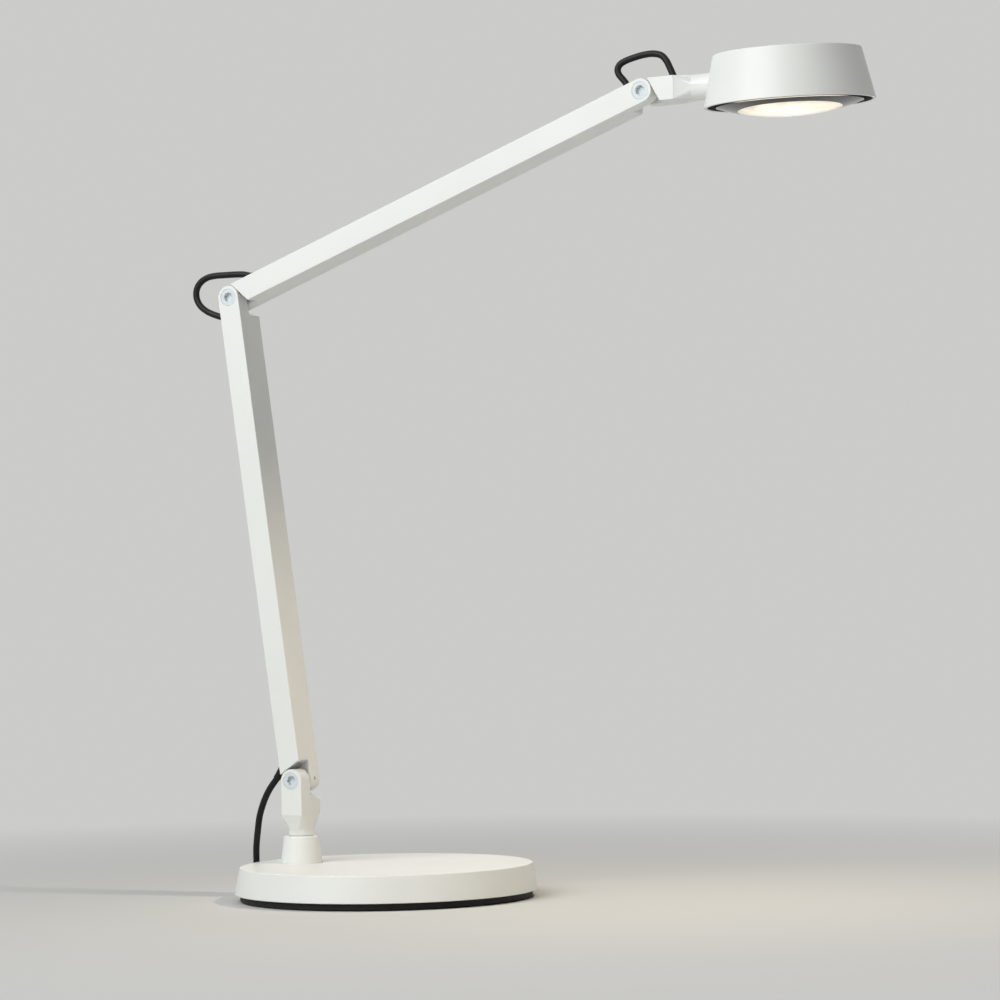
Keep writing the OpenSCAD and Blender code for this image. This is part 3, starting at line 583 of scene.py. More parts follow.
def glowing(name, colour, centre, radius):
    """Lit front: nearly white in the middle, warmer and dimmer towards its edge, with faint streaks."""
    made = Finish(name)
    made.colour((0.85, 0.84, 0.8))
    place = made.centred(centre)
    streaks = made.between(made.noise(13 * MM, 3, 0.6, place), -0.25, 0.25)
    out = made.node("ShaderNodeMath", operation="ADD")
    made.links.new(made.between(made.distance(place), 0, 1, 0, radius), out.inputs[0])
    made.links.new(streaks, out.inputs[1])
    ramp = made.node("ShaderNodeValToRGB")
    steps = ramp.color_ramp.elements
    steps[0].position = 0.15
    steps[0].color = (1, 0.97, 0.91, 1)
    steps[1].position = 1
    steps[1].color = (*shade(colour, 0.55), 1)
    middle = steps.new(0.7)
    middle.color = (*colour, 1)
    made.links.new(out.outputs[0], ramp.inputs["Fac"])
    made.links.new(ramp.outputs["Color"], made.shader.inputs["Emission Color"])
    return made.set(glow=1.05, roughness=0.45).material


GLOW_CENTRE = -12.9 * MM  # height in the drum of the point that the glow fades out from
FINISHES = {}


def finish(name):
    return FINISHES[name]


def make_finishes():
    colour = settings().colour
    FINISHES.update(
        coat=powder_coat("white_powder_coat", colour.coat),
        pad=rubber("pad_rubber", colour.rubber),
        cable=cable_jacket("cable_jacket", colour.cable),
        ring=moulded("black_ring", (0.004, 0.004, 0.004), 0.6, 0.72, 0.03),
        plug=moulded("plug_plastic", (0.014, 0.014, 0.014), 0.42, 0.55),
        button=moulded("button_white", colour.coat, 0.3, 0.4),
        reflector=moulded("reflector_white", (0.85, 0.85, 0.82), 0.2, 0.3),
        steel=milled_metal("bare_steel", (0.55, 0.56, 0.57)),
        plate=milled_metal("plate_steel", (0.6, 0.61, 0.62), 0.4, 0.55),
        aluminium=milled_metal("milled_aluminium", (0.72, 0.73, 0.75), 0.3, 0.45),
        brass=milled_metal("bearing_brass", (0.72, 0.5, 0.2)),
        iron=cast_metal("weight_iron", (0.10, 0.10, 0.105)),
        fibre=rubber("friction_fibre", (0.05, 0.04, 0.035), 0.4 * MM),
        lens=clear_plastic("lens_clear"),
        nylon=moulded("bearing_nylon", (0.74, 0.75, 0.73), 0.4, 0.5),
        # Near-black painted shade for the lens back's margin, where the reflector's flange lies unlit.
        dark_rim=moulded("dark_rim", (0.006, 0.006, 0.006), 0.45, 0.6, 0.1),
        glow=glowing(
            "lit_front", colour.glow, moved(DRUM, (0, 0, GLOW_CENTRE)), settings().head.glow_radius
        ),
        emitter=moulded("led_emitter", (0.85, 0.72, 0.25), 0.3, 0.4),
        board=moulded("board_green", (0.02, 0.12, 0.05), 0.35, 0.5),
        nickel=milled_metal("pin_nickel", (0.78, 0.77, 0.74), 0.12, 0.22),
        screw=milled_metal("screw_zinc", colour.zinc, 0.25, 0.4),
    )
    for pivot, point in (("foot", FOOT_PIVOT), ("elbow", ELBOW), ("head", HEAD_PIVOT)):
        FINISHES[f"{pivot}_zinc"] = turned_metal(f"{pivot}_bolt_zinc", colour.zinc, point)


# ---- shapes that several pieces share ----

SHOULDER_SLANT = math.radians(28)
NUT_POCKET = 6.25 * MM
NUT_DEPTH = 5 * MM
HEAD_POCKET = 6 * MM
HEAD_DEPTH = 4.35 * MM


def pick(piece, kind, test):
    """Selects the piece's corners, edges or faces that pass a test, and leaves it in edit mode."""
    only(piece)
    bpy.ops.object.mode_set(mode="EDIT")
    bpy.ops.mesh.select_mode(type=kind)
    bpy.ops.mesh.select_all(action="DESELECT")
    bpy.ops.object.mode_set(mode="OBJECT")
    mesh = piece.data
    if kind == "FACE":
        for face in mesh.polygons:
            face.select = test(face.center, face.normal)
    elif kind == "EDGE":
        for edge in mesh.edges:
            edge.select = test(*(mesh.vertices[i].co for i in edge.vertices))
    else:
        for corner in mesh.vertices:
            corner.select = test(corner.co)
    bpy.ops.object.mode_set(mode="EDIT")


def round_end(piece, x, radius):
    """Rounds a bar's square end at x into a half circle, seen along its width."""
    near = 1e-6
    pick(piece, "EDGE", lambda a, b: max(abs(a.x - x), abs(b.x - x), abs(a.z - b.z)) < near)
    bpy.ops.mesh.bevel(offset=radius * 0.99999, segments=32, affect="EDGES", clamp_overlap=False)
    bpy.ops.mesh.select_all(action="SELECT")
    bpy.ops.mesh.remove_doubles(threshold=near)
    bpy.ops.object.mode_set(mode="OBJECT")
    return piece


def shoulder_tool(x, forwards, low_y, high_y, reach):
    """Block that cuts one half of a bar's end back to the slanted shoulder behind its pivot at x."""
    past = 60 * MM
    tool = block("shoulder_tool", (-past, low_y, -past), (reach, high_y, past))
    turn = Matrix.Rotation(-SHOULDER_SLANT, 4, "Y")
    flip = Matrix.Diagonal((1 if forwards else -1, 1, 1, 1))
    tool.data.transform(Matrix.Translation((x, 0, 0)) @ flip @ turn)
    return clean(tool)


def even(piece):
    """Sets the normals by face size, so that large flat faces stay flat beside their rounds."""
    step = piece.modifiers.new("normals", "WEIGHTED_NORMAL")
    step.keep_sharp = True
    only(piece)
    bpy.ops.object.modifier_apply(modifier=step.name)
    return piece


def coat(piece, frame, body, node, crease=25):
    """Puts a finished white piece in its place and gives it the powder coat."""
    smooth(piece, crease)
    place(piece, frame)
    return dress(even(piece), finish("coat"), body, "white_paint", node)


def twin(piece, name):
    """A second piece of the same shape with a mesh of its own."""
    made = piece.copy()
    made.data = piece.data.copy()
    made.name = name
    made.data.name = name
    bpy.context.collection.objects.link(made)
    return made


def moved(matrix, point):
    return matrix @ Vector(point)


def four_spots(radius):
    """Places of four screws on a circle."""
    angles = [math.radians(a) for a in (45, 135, 225, 315)]
    return [(radius * math.cos(a), radius * math.sin(a)) for a in angles]


# ---- stage ----

CAMERA_PLACE = Vector((1.2261, -2.3014, 0.2218))
CAMERA_YAW = 0.4573
CAMERA_PITCH = 0.0204
CAMERA_ROLL = -0.0192
CAMERA_LENS = 134.8
SENSOR_WIDTH = 36
FLOOR_RADIUS = 12
FLOOR_GAP = 0.2 * MM
FLOOR_FADE = (0.2, 0.9)  # distances between which the lit floor turns into the plain background
LIGHT_TARGET = Vector((0, 0.1, 0.3))
LIGHTS = (  # name, place, size, watts, colour
    ("key", (-0.6, -2.0, 1.75), 2.1, 62, (0.98, 1, 0.99)),
    ("fill", (1.9, -0.9, 0.9), 1.4, 1.2, (1, 0.9, 0.78)),
    ("rim", (-1.4, 1.4, 1.5), 1.4, 4, (0.95, 0.98, 1)),
    ("top", (0.1, 0.8, 2.3), 2.4, 8, (1, 0.99, 0.97)),
)
OWN_LIGHT_DROP = 38 * MM  # of the lamp's own light below the neck's axis
OWN_LIGHT_WATTS = 5


class LAMP_OT_stage(bpy.types.Operator):
    """Adds the camera, the floor, the backdrop colour and the studio lights"""
    bl_idname = "lamp.stage"
    bl_label = "Stage"

    def execute(self, context):
        self.add_camera(context)
        self.add_floor()
        self.light_world(context)
        self.add_lights()
        context.scene.view_settings.view_transform = "Standard"
        return {"FINISHED"}

    def add_camera(self, context):
        flat = math.cos(CAMERA_PITCH)
        forward = Vector((
            -math.sin(CAMERA_YAW) * flat, math.cos(CAMERA_YAW) * flat, math.sin(CAMERA_PITCH)
        ))
        right = Vector((math.cos(CAMERA_YAW), math.sin(CAMERA_YAW), 0))
        up = right.cross(forward)
        rolled_right = right * math.cos(CAMERA_ROLL) + up * math.sin(CAMERA_ROLL)
        rolled_up = up * math.cos(CAMERA_ROLL) - right * math.sin(CAMERA_ROLL)
        matrix = Matrix((rolled_right, rolled_up, -forward)).transposed().to_4x4()
        matrix.translation = CAMERA_PLACE
        bpy.ops.object.camera_add()
        camera = context.object
        camera.name = "camera"
        camera.matrix_world = matrix
        camera.data.lens = CAMERA_LENS
        camera.data.sensor_width = SENSOR_WIDTH
        camera.data.clip_start = 0.05
        camera.data.clip_end = 60
        context.scene.camera = camera

    def add_floor(self):
        bpy.ops.object.select_all(action="DESELECT")
        bpy.ops.mesh.primitive_circle_add(
            vertices=96, radius=FLOOR_RADIUS, fill_type="NGON", location=(0, 0, -FLOOR_GAP)
        )
        floor = settle(named("floor"))
        colour = settings().colour.floor
        made = Finish("floor")
        made.colour(colour)
        made.set(roughness=0.9, specular=0.1)
        far = made.between(made.distance(made.place), 0, 1, *FLOOR_FADE)
        glow = made.node("ShaderNodeEmission")
        glow.inputs["Color"].default_value = (*colour, 1)
        mix = made.node("ShaderNodeMixShader")
        output = made.nodes["Material Output"]
        made.links.new(far, mix.inputs[0])
        made.links.new(made.shader.outputs[0], mix.inputs[1])
        made.links.new(glow.outputs[0], mix.inputs[2])
        made.links.new(mix.outputs[0], output.inputs["Surface"])
        floor.data.materials.append(made.material)

    def light_world(self, context):
        """Pale background where it is seen, soft even light elsewhere."""
        colour = settings().colour.floor
        world = bpy.data.worlds.new("studio")
        world.use_nodes = True
        nodes = world.node_tree.nodes
        links = world.node_tree.links
        seen = nodes.new("ShaderNodeBackground")
        seen.inputs["Color"].default_value = (*colour, 1)
        lit = nodes["Background"]
        lit.inputs["Color"].default_value = (1.0, 0.99, 0.97, 1)
        lit.inputs["Strength"].default_value = 0.13
        path = nodes.new("ShaderNodeLightPath")
        most = path.outputs["Is Camera Ray"]
        for ray in ("Is Glossy Ray", "Is Transmission Ray"):
            either = nodes.new("ShaderNodeMath")
            either.operation = "MAXIMUM"
            links.new(most, either.inputs[0])
            links.new(path.outputs[ray], either.inputs[1])
            most = either.outputs[0]
        mix = nodes.new("ShaderNodeMixShader")
        links.new(most, mix.inputs[0])
        links.new(lit.outputs[0], mix.inputs[1])
        links.new(seen.outputs[0], mix.inputs[2])
        links.new(mix.outputs[0], nodes["World Output"].inputs["Surface"])
        context.scene.world = world

    def add_lights(self):
        for name, place, size, watts, tone in LIGHTS:
            lamp = self.add_lamp(name, "AREA", Vector(place), LIGHT_TARGET, watts, tone)
            lamp.data.size = size
        below = moved(DRUM, (0, 0, -OWN_LIGHT_DROP))
        own = self.add_lamp(
            "lamp_light", "SPOT", below, below - DRUM_UP, OWN_LIGHT_WATTS, settings().colour.glow
        )
        own.data.spot_size = math.radians(135)
        own.data.spot_blend = 0.6
        own.data.shadow_soft_size = 0.012
        own.visible_camera = False
        own.visible_glossy = False
        own.visible_transmission = False

    def add_lamp(self, name, kind, place, target, watts, tone):
        bpy.ops.object.light_add(type=kind, location=place)
        lamp = bpy.context.object
        lamp.name = name
        lamp.rotation_euler = (target - place).to_track_quat("-Z", "Y").to_euler()
        lamp.data.energy = watts
        lamp.data.color = tone
        return lamp


# ---- power cord and cables ----

CORD_ROUTE = [
    (-86.4, 0, 81.7), (-91.7, 0, 75.2), (-97, 1, 66.8), (-101.5, 2, 56), (-104.5, 4, 45),
    (-107, 6, 34), (-109.5, 10, 23), (-112, 15, 13), (-115, 22, 6), (-117.5, 31, 2.9),
    (-119, 42, 2.4), (-119.7, 54, 2.4), (-119.8, 66, 2.4), (-119.5, 78, 2.4), (-119.2, 90, 2.6),
    (-118.9, 101, 2.9), (-118.9, 110, 2.9),
]
PLUG_ROUTE = [
    (-66, 157.9, 6.4), (-57, 157.6, 4.6), (-49, 156.8, 4.4), (-42, 156, 6), (-37, 156, 7), (-30, 156, 7),
]
ELBOW_LOOP = [
    (-7.9, -13.1), (-11, -13.1), (-15.4, -12), (-20.6, -10.2), (-26, -7.6), (-31, -3.4), (-33.7, 2.2),
    (-33.4, 8), (-30.2, 12.8), (-24.6, 15.9), (-17.8, 17), (-10, 17.1), (-2, 17.1), (5, 16.8), (11, 15.5),
]
HEAD_LOOP = [
    (-14.6, 4.6), (-16, 7.4), (-18.4, 10.4), (-20.9, 13.4), (-22, 16.8), (-20.4, 20.2), (-16.4, 22.4),
    (-10, 24.2), (-2.4, 25.6), (4.6, 25.8), (10.4, 24.2), (14, 20.4), (16.4, 15.6), (18.2, 11.6),
    (19.4, 8.9),
]
INNER_ROUTE = [
    (21.5, 2.6), (24.5, 1.1), (28.5, 0.6), (80, 0.6), (172, 0.4), (284, 0.6), (325, 0.6),
    (329, 1.4), (331.2, 3), (332, 6.1), (332, 8.9),
]
LOOPS = (  # name, hinge, route, node, bodies, slope of the line that it bends along
    ("elbow_cable_loop", ELBOW, ELBOW_LOOP, "elbow_cable", ("lower_arm", "upper_arm"), 28),
    ("head_cable_loop", HEAD_PIVOT, HEAD_LOOP, "head_cable", ("upper_arm", "head_joint"), 12),
)
COIL_CENTRE = Vector((-82, 121, 0)) * MM
COIL_PITCH = 4.7 * MM
COIL_RISE = 4.65 * MM
COIL_LIFT = 0.6 * MM
TURNS_ACROSS = 5
PORT_SLANT = math.radians(48)
PORT_OUT = Vector((-math.sin(PORT_SLANT), 0, math.cos(PORT_SLANT)))
PORT_RADIUS = 3.2 * MM
LOW_PORTS = {"lower_arm": 15 * MM, "upper_arm": 18.5 * MM}
HIGH_PORT = 12 * MM  # from the arm's upper pivot
SLEEVE_RADIUS = 3.1 * MM
RELIEF_LENGTH = 16 * MM
PLUG_ENTRY = Vector((-33, 156, 7)) * MM
PIN_SPACING = 19 * MM


def in_metres(route):
    return [Vector(point) * MM for point in route]


def loop_points(pivot, loop):
    return [pivot + Vector((x, 0, z)) * MM for x, z in loop]


def low_port(arm):
    """Mouth of the slanted cable port at an arm's low end, in the arm's own frame."""
    return Vector((LOW_PORTS[arm], 0, settings().arm.depth / 2))


def ease(t):
    t = max(0, min(1, t))
    return t * t * (3 - 2 * t)


def coil_points():
    """Two layers of flat turns: inwards on the table, up at the middle and outwards on top."""
    sizes = settings().cable
    last = TURNS_ACROSS - 1
    outer = sizes.coil_across / 2 + last / 2 * COIL_PITCH
    low = COIL_LIFT + sizes.diameter / 2
    steps = 36
    points = []
    for i in range(round((2 * TURNS_ACROSS - 0.75) * steps) + 1):
        turn = i / steps
        whole = int(turn)
        if turn < TURNS_ACROSS:
            ring = min(last, whole + ease((turn - whole - 0.6) / 0.4))
        else:
            ring = last - (whole - TURNS_ACROSS) - ease((turn - whole - 0.25) / 0.35)
        radius = outer - ring * COIL_PITCH
        rise = ease((turn - last - 0.45) / 0.35) * COIL_RISE
        angle = math.pi - turn * 2 * math.pi
        points.append(
            COIL_CENTRE + Vector((radius * math.cos(angle), radius * math.sin(angle), low + rise))
        )
    return points


class LAMP_OT_power_cord(bpy.types.Operator):
    """Models the power cord with its stored coil, its tie, its plug and its strain relief"""
    bl_idname = "lamp.power_cord"
    bl_label = "Power cord"

    def execute(self, context):
        sizes = settings().cable
        radius = sizes.diameter / 2
        port = moved(LOWER, low_port("lower_arm"))
        out = LOWER.to_3x3() @ PORT_OUT
        hidden = [port + (RELIEF_LENGTH - back * MM) * out for back in (10, 5)]
        laid = rounded_route(hidden + in_metres(CORD_ROUTE), 4 * MM)
        coil = coil_points()
        lead = rounded_route([coil[-1] + Vector((8 * MM, 0, -0.1 * MM))] + in_metres(PLUG_ROUTE), 3 * MM)
        joined = rounded_route([laid[-1], laid[-1] + Vector((0, 6 * MM, 0)), coil[0]], 4 * MM)
        path = laid + joined[1:-1] + coil + lead
        cord = cable("power_cord_black", path, radius)
        relief = self.relief(port, out)
        tie = self.tie()
        plug = self.plug()
        dress(cord, finish("cable"), None, "cable_jacket", "power_cord", "power_cord_coil", "plug_lead")
        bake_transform(cord)
        return {"FINISHED"}

    def relief(self, port, out):
        """Slim tapered sleeve with fine grooves, on the lower arm's slanted port."""
        profile = outline((2.35, -3.5), (3.1, -3.5), (3.1, 0))
        for step in range(7):
            height = 2 + 1.9 * step
            radius = 3.1 - 0.032 * height
            groove = radius - 0.16
            profile += outline(
                (radius, height - 0.35), (groove, height - 0.15), (groove, height + 0.15),
                (radius, height + 0.35),
            )
        profile += outline((2.62, 15.7), (2.5, 16), (2.35, 16), (2.35, -3.5))
        piece = turned("cord_relief_sleeve", profile, 40)
        place(piece, local_frame(port, Y_AXIS.cross(out), Y_AXIS))
        dress(piece, finish("cable"), None, "cable_jacket", "cord_relief")
        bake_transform(piece)
        return piece

    def tie(self):
        """Flat strap round all the turns."""
        frame = Matrix.Translation(COIL_CENTRE) @ Matrix.Rotation(math.radians(-25), 4, "Z")
        strap = block("coil_tie_strap", (14.4 * MM, -4.2 * MM, 0), (40 * MM, 4.2 * MM, 10.6 * MM))
        hole = block("tie_hole", (15.1 * MM, -6 * MM, 0.5 * MM), (39.3 * MM, 6 * MM, 10.0 * MM))
        cut(strap, hole)
        soften(strap, 0.25 * MM, 2)
        place(strap, frame)
        return dress(even(strap), finish("plug"), "base", "cable_jacket", "cord_tie")

    def plug(self):
        """Flat two-pin plug: waisted grip, ribbed sleeve, pins left as they are."""
        low = PLUG_ENTRY + Vector((8, -15, -6.8)) * MM
        body = block("plug_grip", low, low + Vector((28, 30, 13.6)) * MM)
        pick(body, "FACE", lambda centre, normal: normal.x < -0.9)
        bpy.ops.transform.resize(value=(1, 0.62, 0.82), center_override=PLUG_ENTRY)
        bpy.ops.mesh.select_all(action="SELECT")
        bpy.ops.mesh.subdivide(number_cuts=3)
        bpy.ops.object.mode_set(mode="OBJECT")
        pick(body, "FACE", lambda centre, normal: normal.x > 0.9)
        bpy.ops.mesh.inset(thickness=0.8 * MM)
        bpy.ops.object.mode_set(mode="OBJECT")
        soften(body, 2.4 * MM, 4)
        profile = outline((2.35, 0))
        for step in range(4):
            start = 0.2 + 2.1 * step
            size = 3.5 + 0.25 * step
            profile += outline(
                (size, start), (size + 0.1, start + 1.4), (size - 0.5, start + 1.5), (size - 0.5, start + 2)
            )
        profile += outline((4.2, 10), (2.35, 10), (2.35, 0))
        sleeve = turned("plug_sleeve", profile, 40)
        place(sleeve, local_frame(PLUG_ENTRY, Vector((0, 0, -1)), Y_AXIS))
        fuse(body, sleeve)
        holes = [("plug_channel", 2.35 * MM, 0, -2 * MM, 4 * MM)]
        holes += [("pin_root", 1.65 * MM, side * PIN_SPACING / 2, 27.9 * MM, 40 * MM) for side in (-1, 1)]
        for name, radius, y, first, last in holes:
            ends = [PLUG_ENTRY + Vector((x, y, 0)) for x in (first, last)]
            cut(body, rod(name, radius, *ends))
        smooth(body, 35)
        return dress(even(body), finish("plug"), "base", "plug_plastic", "plug_body")


class LAMP_OT_cable_loops(bpy.types.Operator):
    """Models the cable loops beside the elbow and the head hinge, and their rubber rings"""
    bl_idname = "lamp.cable_loops"
    bl_label = "Cable loops"

    def execute(self, context):
        radius = settings().cable.diameter / 2
        for name, pivot, loop, node, bodies, slope in LOOPS:
            path = rounded_route(loop_points(pivot, loop), 1.2 * MM)
            piece = cable(name, path, radius)
            dress(piece, finish("cable"), None, "cable_jacket", node)
            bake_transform(piece)
        self.inner_cable(radius)
        self.rings(radius)
        return {"FINISHED"}

    def inner_cable(self, radius):
        """The lower arm's own length of cable, which ends inside the cord's relief."""
        port = low_port("lower_arm")
        points = [port + out * MM * PORT_OUT for out in (5.6, 0, -5)] + loop_points(Vector(), INNER_ROUTE)
        path = rounded_route([moved(LOWER, point) for point in points], 3 * MM)
        piece = cable("lower_arm_inner_cable", path, radius - 0.1 * MM)
        dress(piece, finish("cable"), "lower_arm", "cable_jacket", "lower_arm_cable")

    def rings(self, radius):
        """Lipped rubber rings in the high ports, and a slim sleeve in the upper arm's low port."""
        hole = radius + 0.1 * MM
        lip = 4.0 * MM
        bulge = 0.42 * MM
        low = -1.5 * MM
        seat = 0.05 * MM
        profile = [(hole, low), (SLEEVE_RADIUS, low), (SLEEVE_RADIUS, seat), (lip, seat)]
        profile += arc((lip - bulge, 0.48 * MM), bulge, 0, 90, 6)
        profile += [(hole + 0.15 * MM, 0.9 * MM), (hole, 0.75 * MM), (hole, low)]
        ring = turned("lower_arm_cable_ring", profile, 48)
        other = twin(ring, "upper_arm_cable_ring")
        back = Matrix.Translation((ARM_LENGTH - HIGH_PORT, 0, settings().arm.depth / 2))
        place(ring, LOWER @ back)
        place(other, UPPER @ back)
        dress(ring, finish("pad"), "lower_arm", "cable_jacket", "lower_arm_grommet")
        sleeve = turned(
            "upper_arm_low_sleeve",
            outline((2.36, -3.8), (3.1, -3.8), (3.1, 1.2), (2.95, 2.7), (2.75, 3), (2.36, 3), (2.36, -3.8)),
            40,
        )
        out = UPPER.to_3x3() @ PORT_OUT
        place(sleeve, local_frame(moved(UPPER, low_port("upper_arm")), Y_AXIS.cross(out), Y_AXIS))
        dress(other, finish("pad"), "upper_arm", "cable_jacket")
        dress(sleeve, finish("pad"), "upper_arm", "cable_jacket")
        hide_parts("upper_arm_grommets")


# ---- base and foot ----

BASE_SCREWS = 75 * MM  # radius of the circle that the screws stand on
SPIGOT_RADIUS = 9.5 * MM
SPIGOT_END = 13.5 * MM


def lean(rim, centre, radius):
    """Angle at which a straight side from the rim touches the round at its top."""
    across = centre[0] - rim[0]
    up = centre[1] - rim[1]
    reach = math.hypot(across, up)
    return math.degrees(math.atan2(up, across) - math.asin(radius / reach)) - 90


class LAMP_OT_base(bpy.types.Operator):
    """Models the base cover, the pad under it and the collar on it"""
    bl_idname = "lamp.base"
    bl_label = "Base"

    def execute(self, context):
        sizes = settings().base
        self.cover(sizes)
        self.pad(sizes)
        self.collar(sizes)
        return {"FINISHED"}

    def cover(self, sizes):
        wall = sizes.cover_wall
        ceiling = sizes.cover_high - wall
        rim = (sizes.rim_radius, sizes.cover_low + 0.4 * MM)
        centre = (sizes.top_radius - sizes.top_round, sizes.cover_high - sizes.top_round)
        start = lean(rim, centre, sizes.top_round)
        middle = 20 * MM
        profile = [(rim[0] - wall, sizes.cover_low), (rim[0] - 0.4 * MM, sizes.cover_low), rim]
        profile += arc(centre, sizes.top_round, start, 90, 10)
        profile += [
            (middle, sizes.cover_high), (middle, ceiling),
            (sizes.top_radius - wall, ceiling), (rim[0] - wall, sizes.cover_low),
        ]
        piece = turned("base_cover_disc", profile, 256, 25)
        fuse(piece, rod("cover_middle", middle + 0.5 * MM, (0, 0, ceiling), (0, 0, sizes.cover_high), 128))
        spots = four_spots(BASE_SCREWS)
        top = ceiling + 0.5 * MM
        fuse(piece, *(rod("post", 5 * MM, (x, y, 8 * MM), (x, y, top), 48) for x, y in spots))
        through = (SWIVEL + Vector((0, 0, 10 * MM)), SWIVEL + Vector((0, 0, 30 * MM)))
        cut(piece, rod("collar_hole", SPIGOT_RADIUS + 0.05 * MM, *through, 96))
        cut(piece, *(rod("post_hole", 2.05 * MM, (x, y, 7 * MM), (x, y, 18 * MM), 32) for x, y in spots))
        coat(piece, Matrix(), "base", "base_cover")

    def pad(self, sizes):
        edge = sizes.pad_radius
        profile = outline((60, 0.35), (60.6, 0))
        for start in range(66, 101, 7):
            profile += outline((start, 0), (start + 0.5, 0.4), (start + 1.5, 0.4), (start + 2, 0))
        profile += [(edge - 0.8 * MM, 0), (edge, 0.8 * MM), (edge, sizes.cover_low)]
        piece = turned("base_pad", profile, 192, 25)
        dress(even(piece), finish("pad"), "base", "pad_rubber", "foot_pad")

    def collar(self, sizes):
        floor = sizes.cover_high
        top = floor + sizes.collar_height
        bore = sizes.collar_bore
        edge = 1 * MM
        profile = [
            (bore, SPIGOT_END), (SPIGOT_RADIUS, SPIGOT_END), (SPIGOT_RADIUS, floor),
            (sizes.collar_low - 0.1 * MM, floor), (sizes.collar_low, floor + 0.15 * MM),
            (sizes.collar_high, top - edge),
        ]
        profile += arc((sizes.collar_high - edge, top - edge), edge, 15, 90, 6)
        profile += [(bore, top), (bore, SPIGOT_END)]
        piece = turned("swivel_collar", profile, 128, 25)
        coat(piece, Matrix.Translation(SWIVEL), "base", "collar")


def knuckle(name, neck_to):
    """Rounded ear, block with a slanted shoulder, taper and round neck, from its pivot along X."""
    sizes = settings().arm
    ear = sizes.depth / 2
    half = sizes.width / 2
    lap = sizes.lap_gap / 2
    body = block(name, (-ear, -half, -ear), (sizes.block, half, ear))
    round_end(body, -ear, ear)
    cut(body, shoulder_tool(0, True, -30 * MM, lap, sizes.shoulder))
    soften(body, sizes.edge)
    taper_end = sizes.block + sizes.taper
    bpy.ops.object.select_all(action="DESELECT")
    bpy.ops.mesh.primitive_circle_add(
        vertices=64, radius=sizes.neck_radius - 0.1 * MM,
        location=(taper_end, 0, 0), rotation=(0, math.pi / 2, 0)
    )
    taper = settle(named(name + "_taper"))
    start = sizes.block - 0.6 * MM
    inset = 0.35 * MM / 4
    bpy.ops.mesh.primitive_cube_add(
        size=1, location=(start, 0, 0), scale=(1 * MM, 2 * (half - inset), 2 * (ear - inset))
    )
    square = settle(named(name + "_square"))
    soften(square, 0.4 * MM, 2)
    bpy.ops.object.select_all(action="DESELECT")
    square.select_set(True)
    taper.select_set(True)
    bpy.context.view_layer.objects.active = taper
    bpy.ops.object.join()
    bpy.ops.object.mode_set(mode="EDIT")
    bpy.ops.mesh.select_all(action="SELECT")
    bpy.ops.mesh.convex_hull()
    bpy.ops.object.mode_set(mode="OBJECT")
    fuse(taper, rod(name + "_neck", sizes.neck_radius, (taper_end - 2 * MM, 0, 0), (neck_to, 0, 0), 96))
    fuse(body, taper)
    return body


class LAMP_OT_foot_knuckle(bpy.types.Operator):
    """Models the knuckle that turns in the collar and carries the lower arm"""
    bl_idname = "lamp.foot_knuckle"
    bl_label = "Foot knuckle"

    def execute(self, context):
        half = settings().arm.width / 2
        piece = knuckle("foot_knuckle_white", 38.5 * MM)
        cut(
            piece,
            rod("shank_hole", 3.05 * MM, (0, -1 * MM, 0), (0, half + 1 * MM, 0), 48),
            rod("head_pocket", HEAD_POCKET, (0, half - HEAD_DEPTH, 0), (0, half + 1 * MM, 0), 96),
            rod("stem_hole", 5.5 * MM, (22 * MM, 0, 0), (45 * MM, 0, 0), 64),
        )
        coat(piece, FOOT_KNUCKLE, "foot", "foot_knuckle", 30)
        return {"FINISHED"}


# ---- arms and hinges ----

SCREW_INSET = 31 * MM  # of the arm's screws from its pivots
SUNK = 0.15 * MM  # depth of the bolt's head and the nut under the arm's faces
HINGES = (  # name, frame that the bolt lies in, body that the bolt turns with
    ("foot", LOWER, "foot"), ("elbow", UPPER, "lower_arm"), ("head", HEAD_KNUCKLE, "upper_arm"),
)


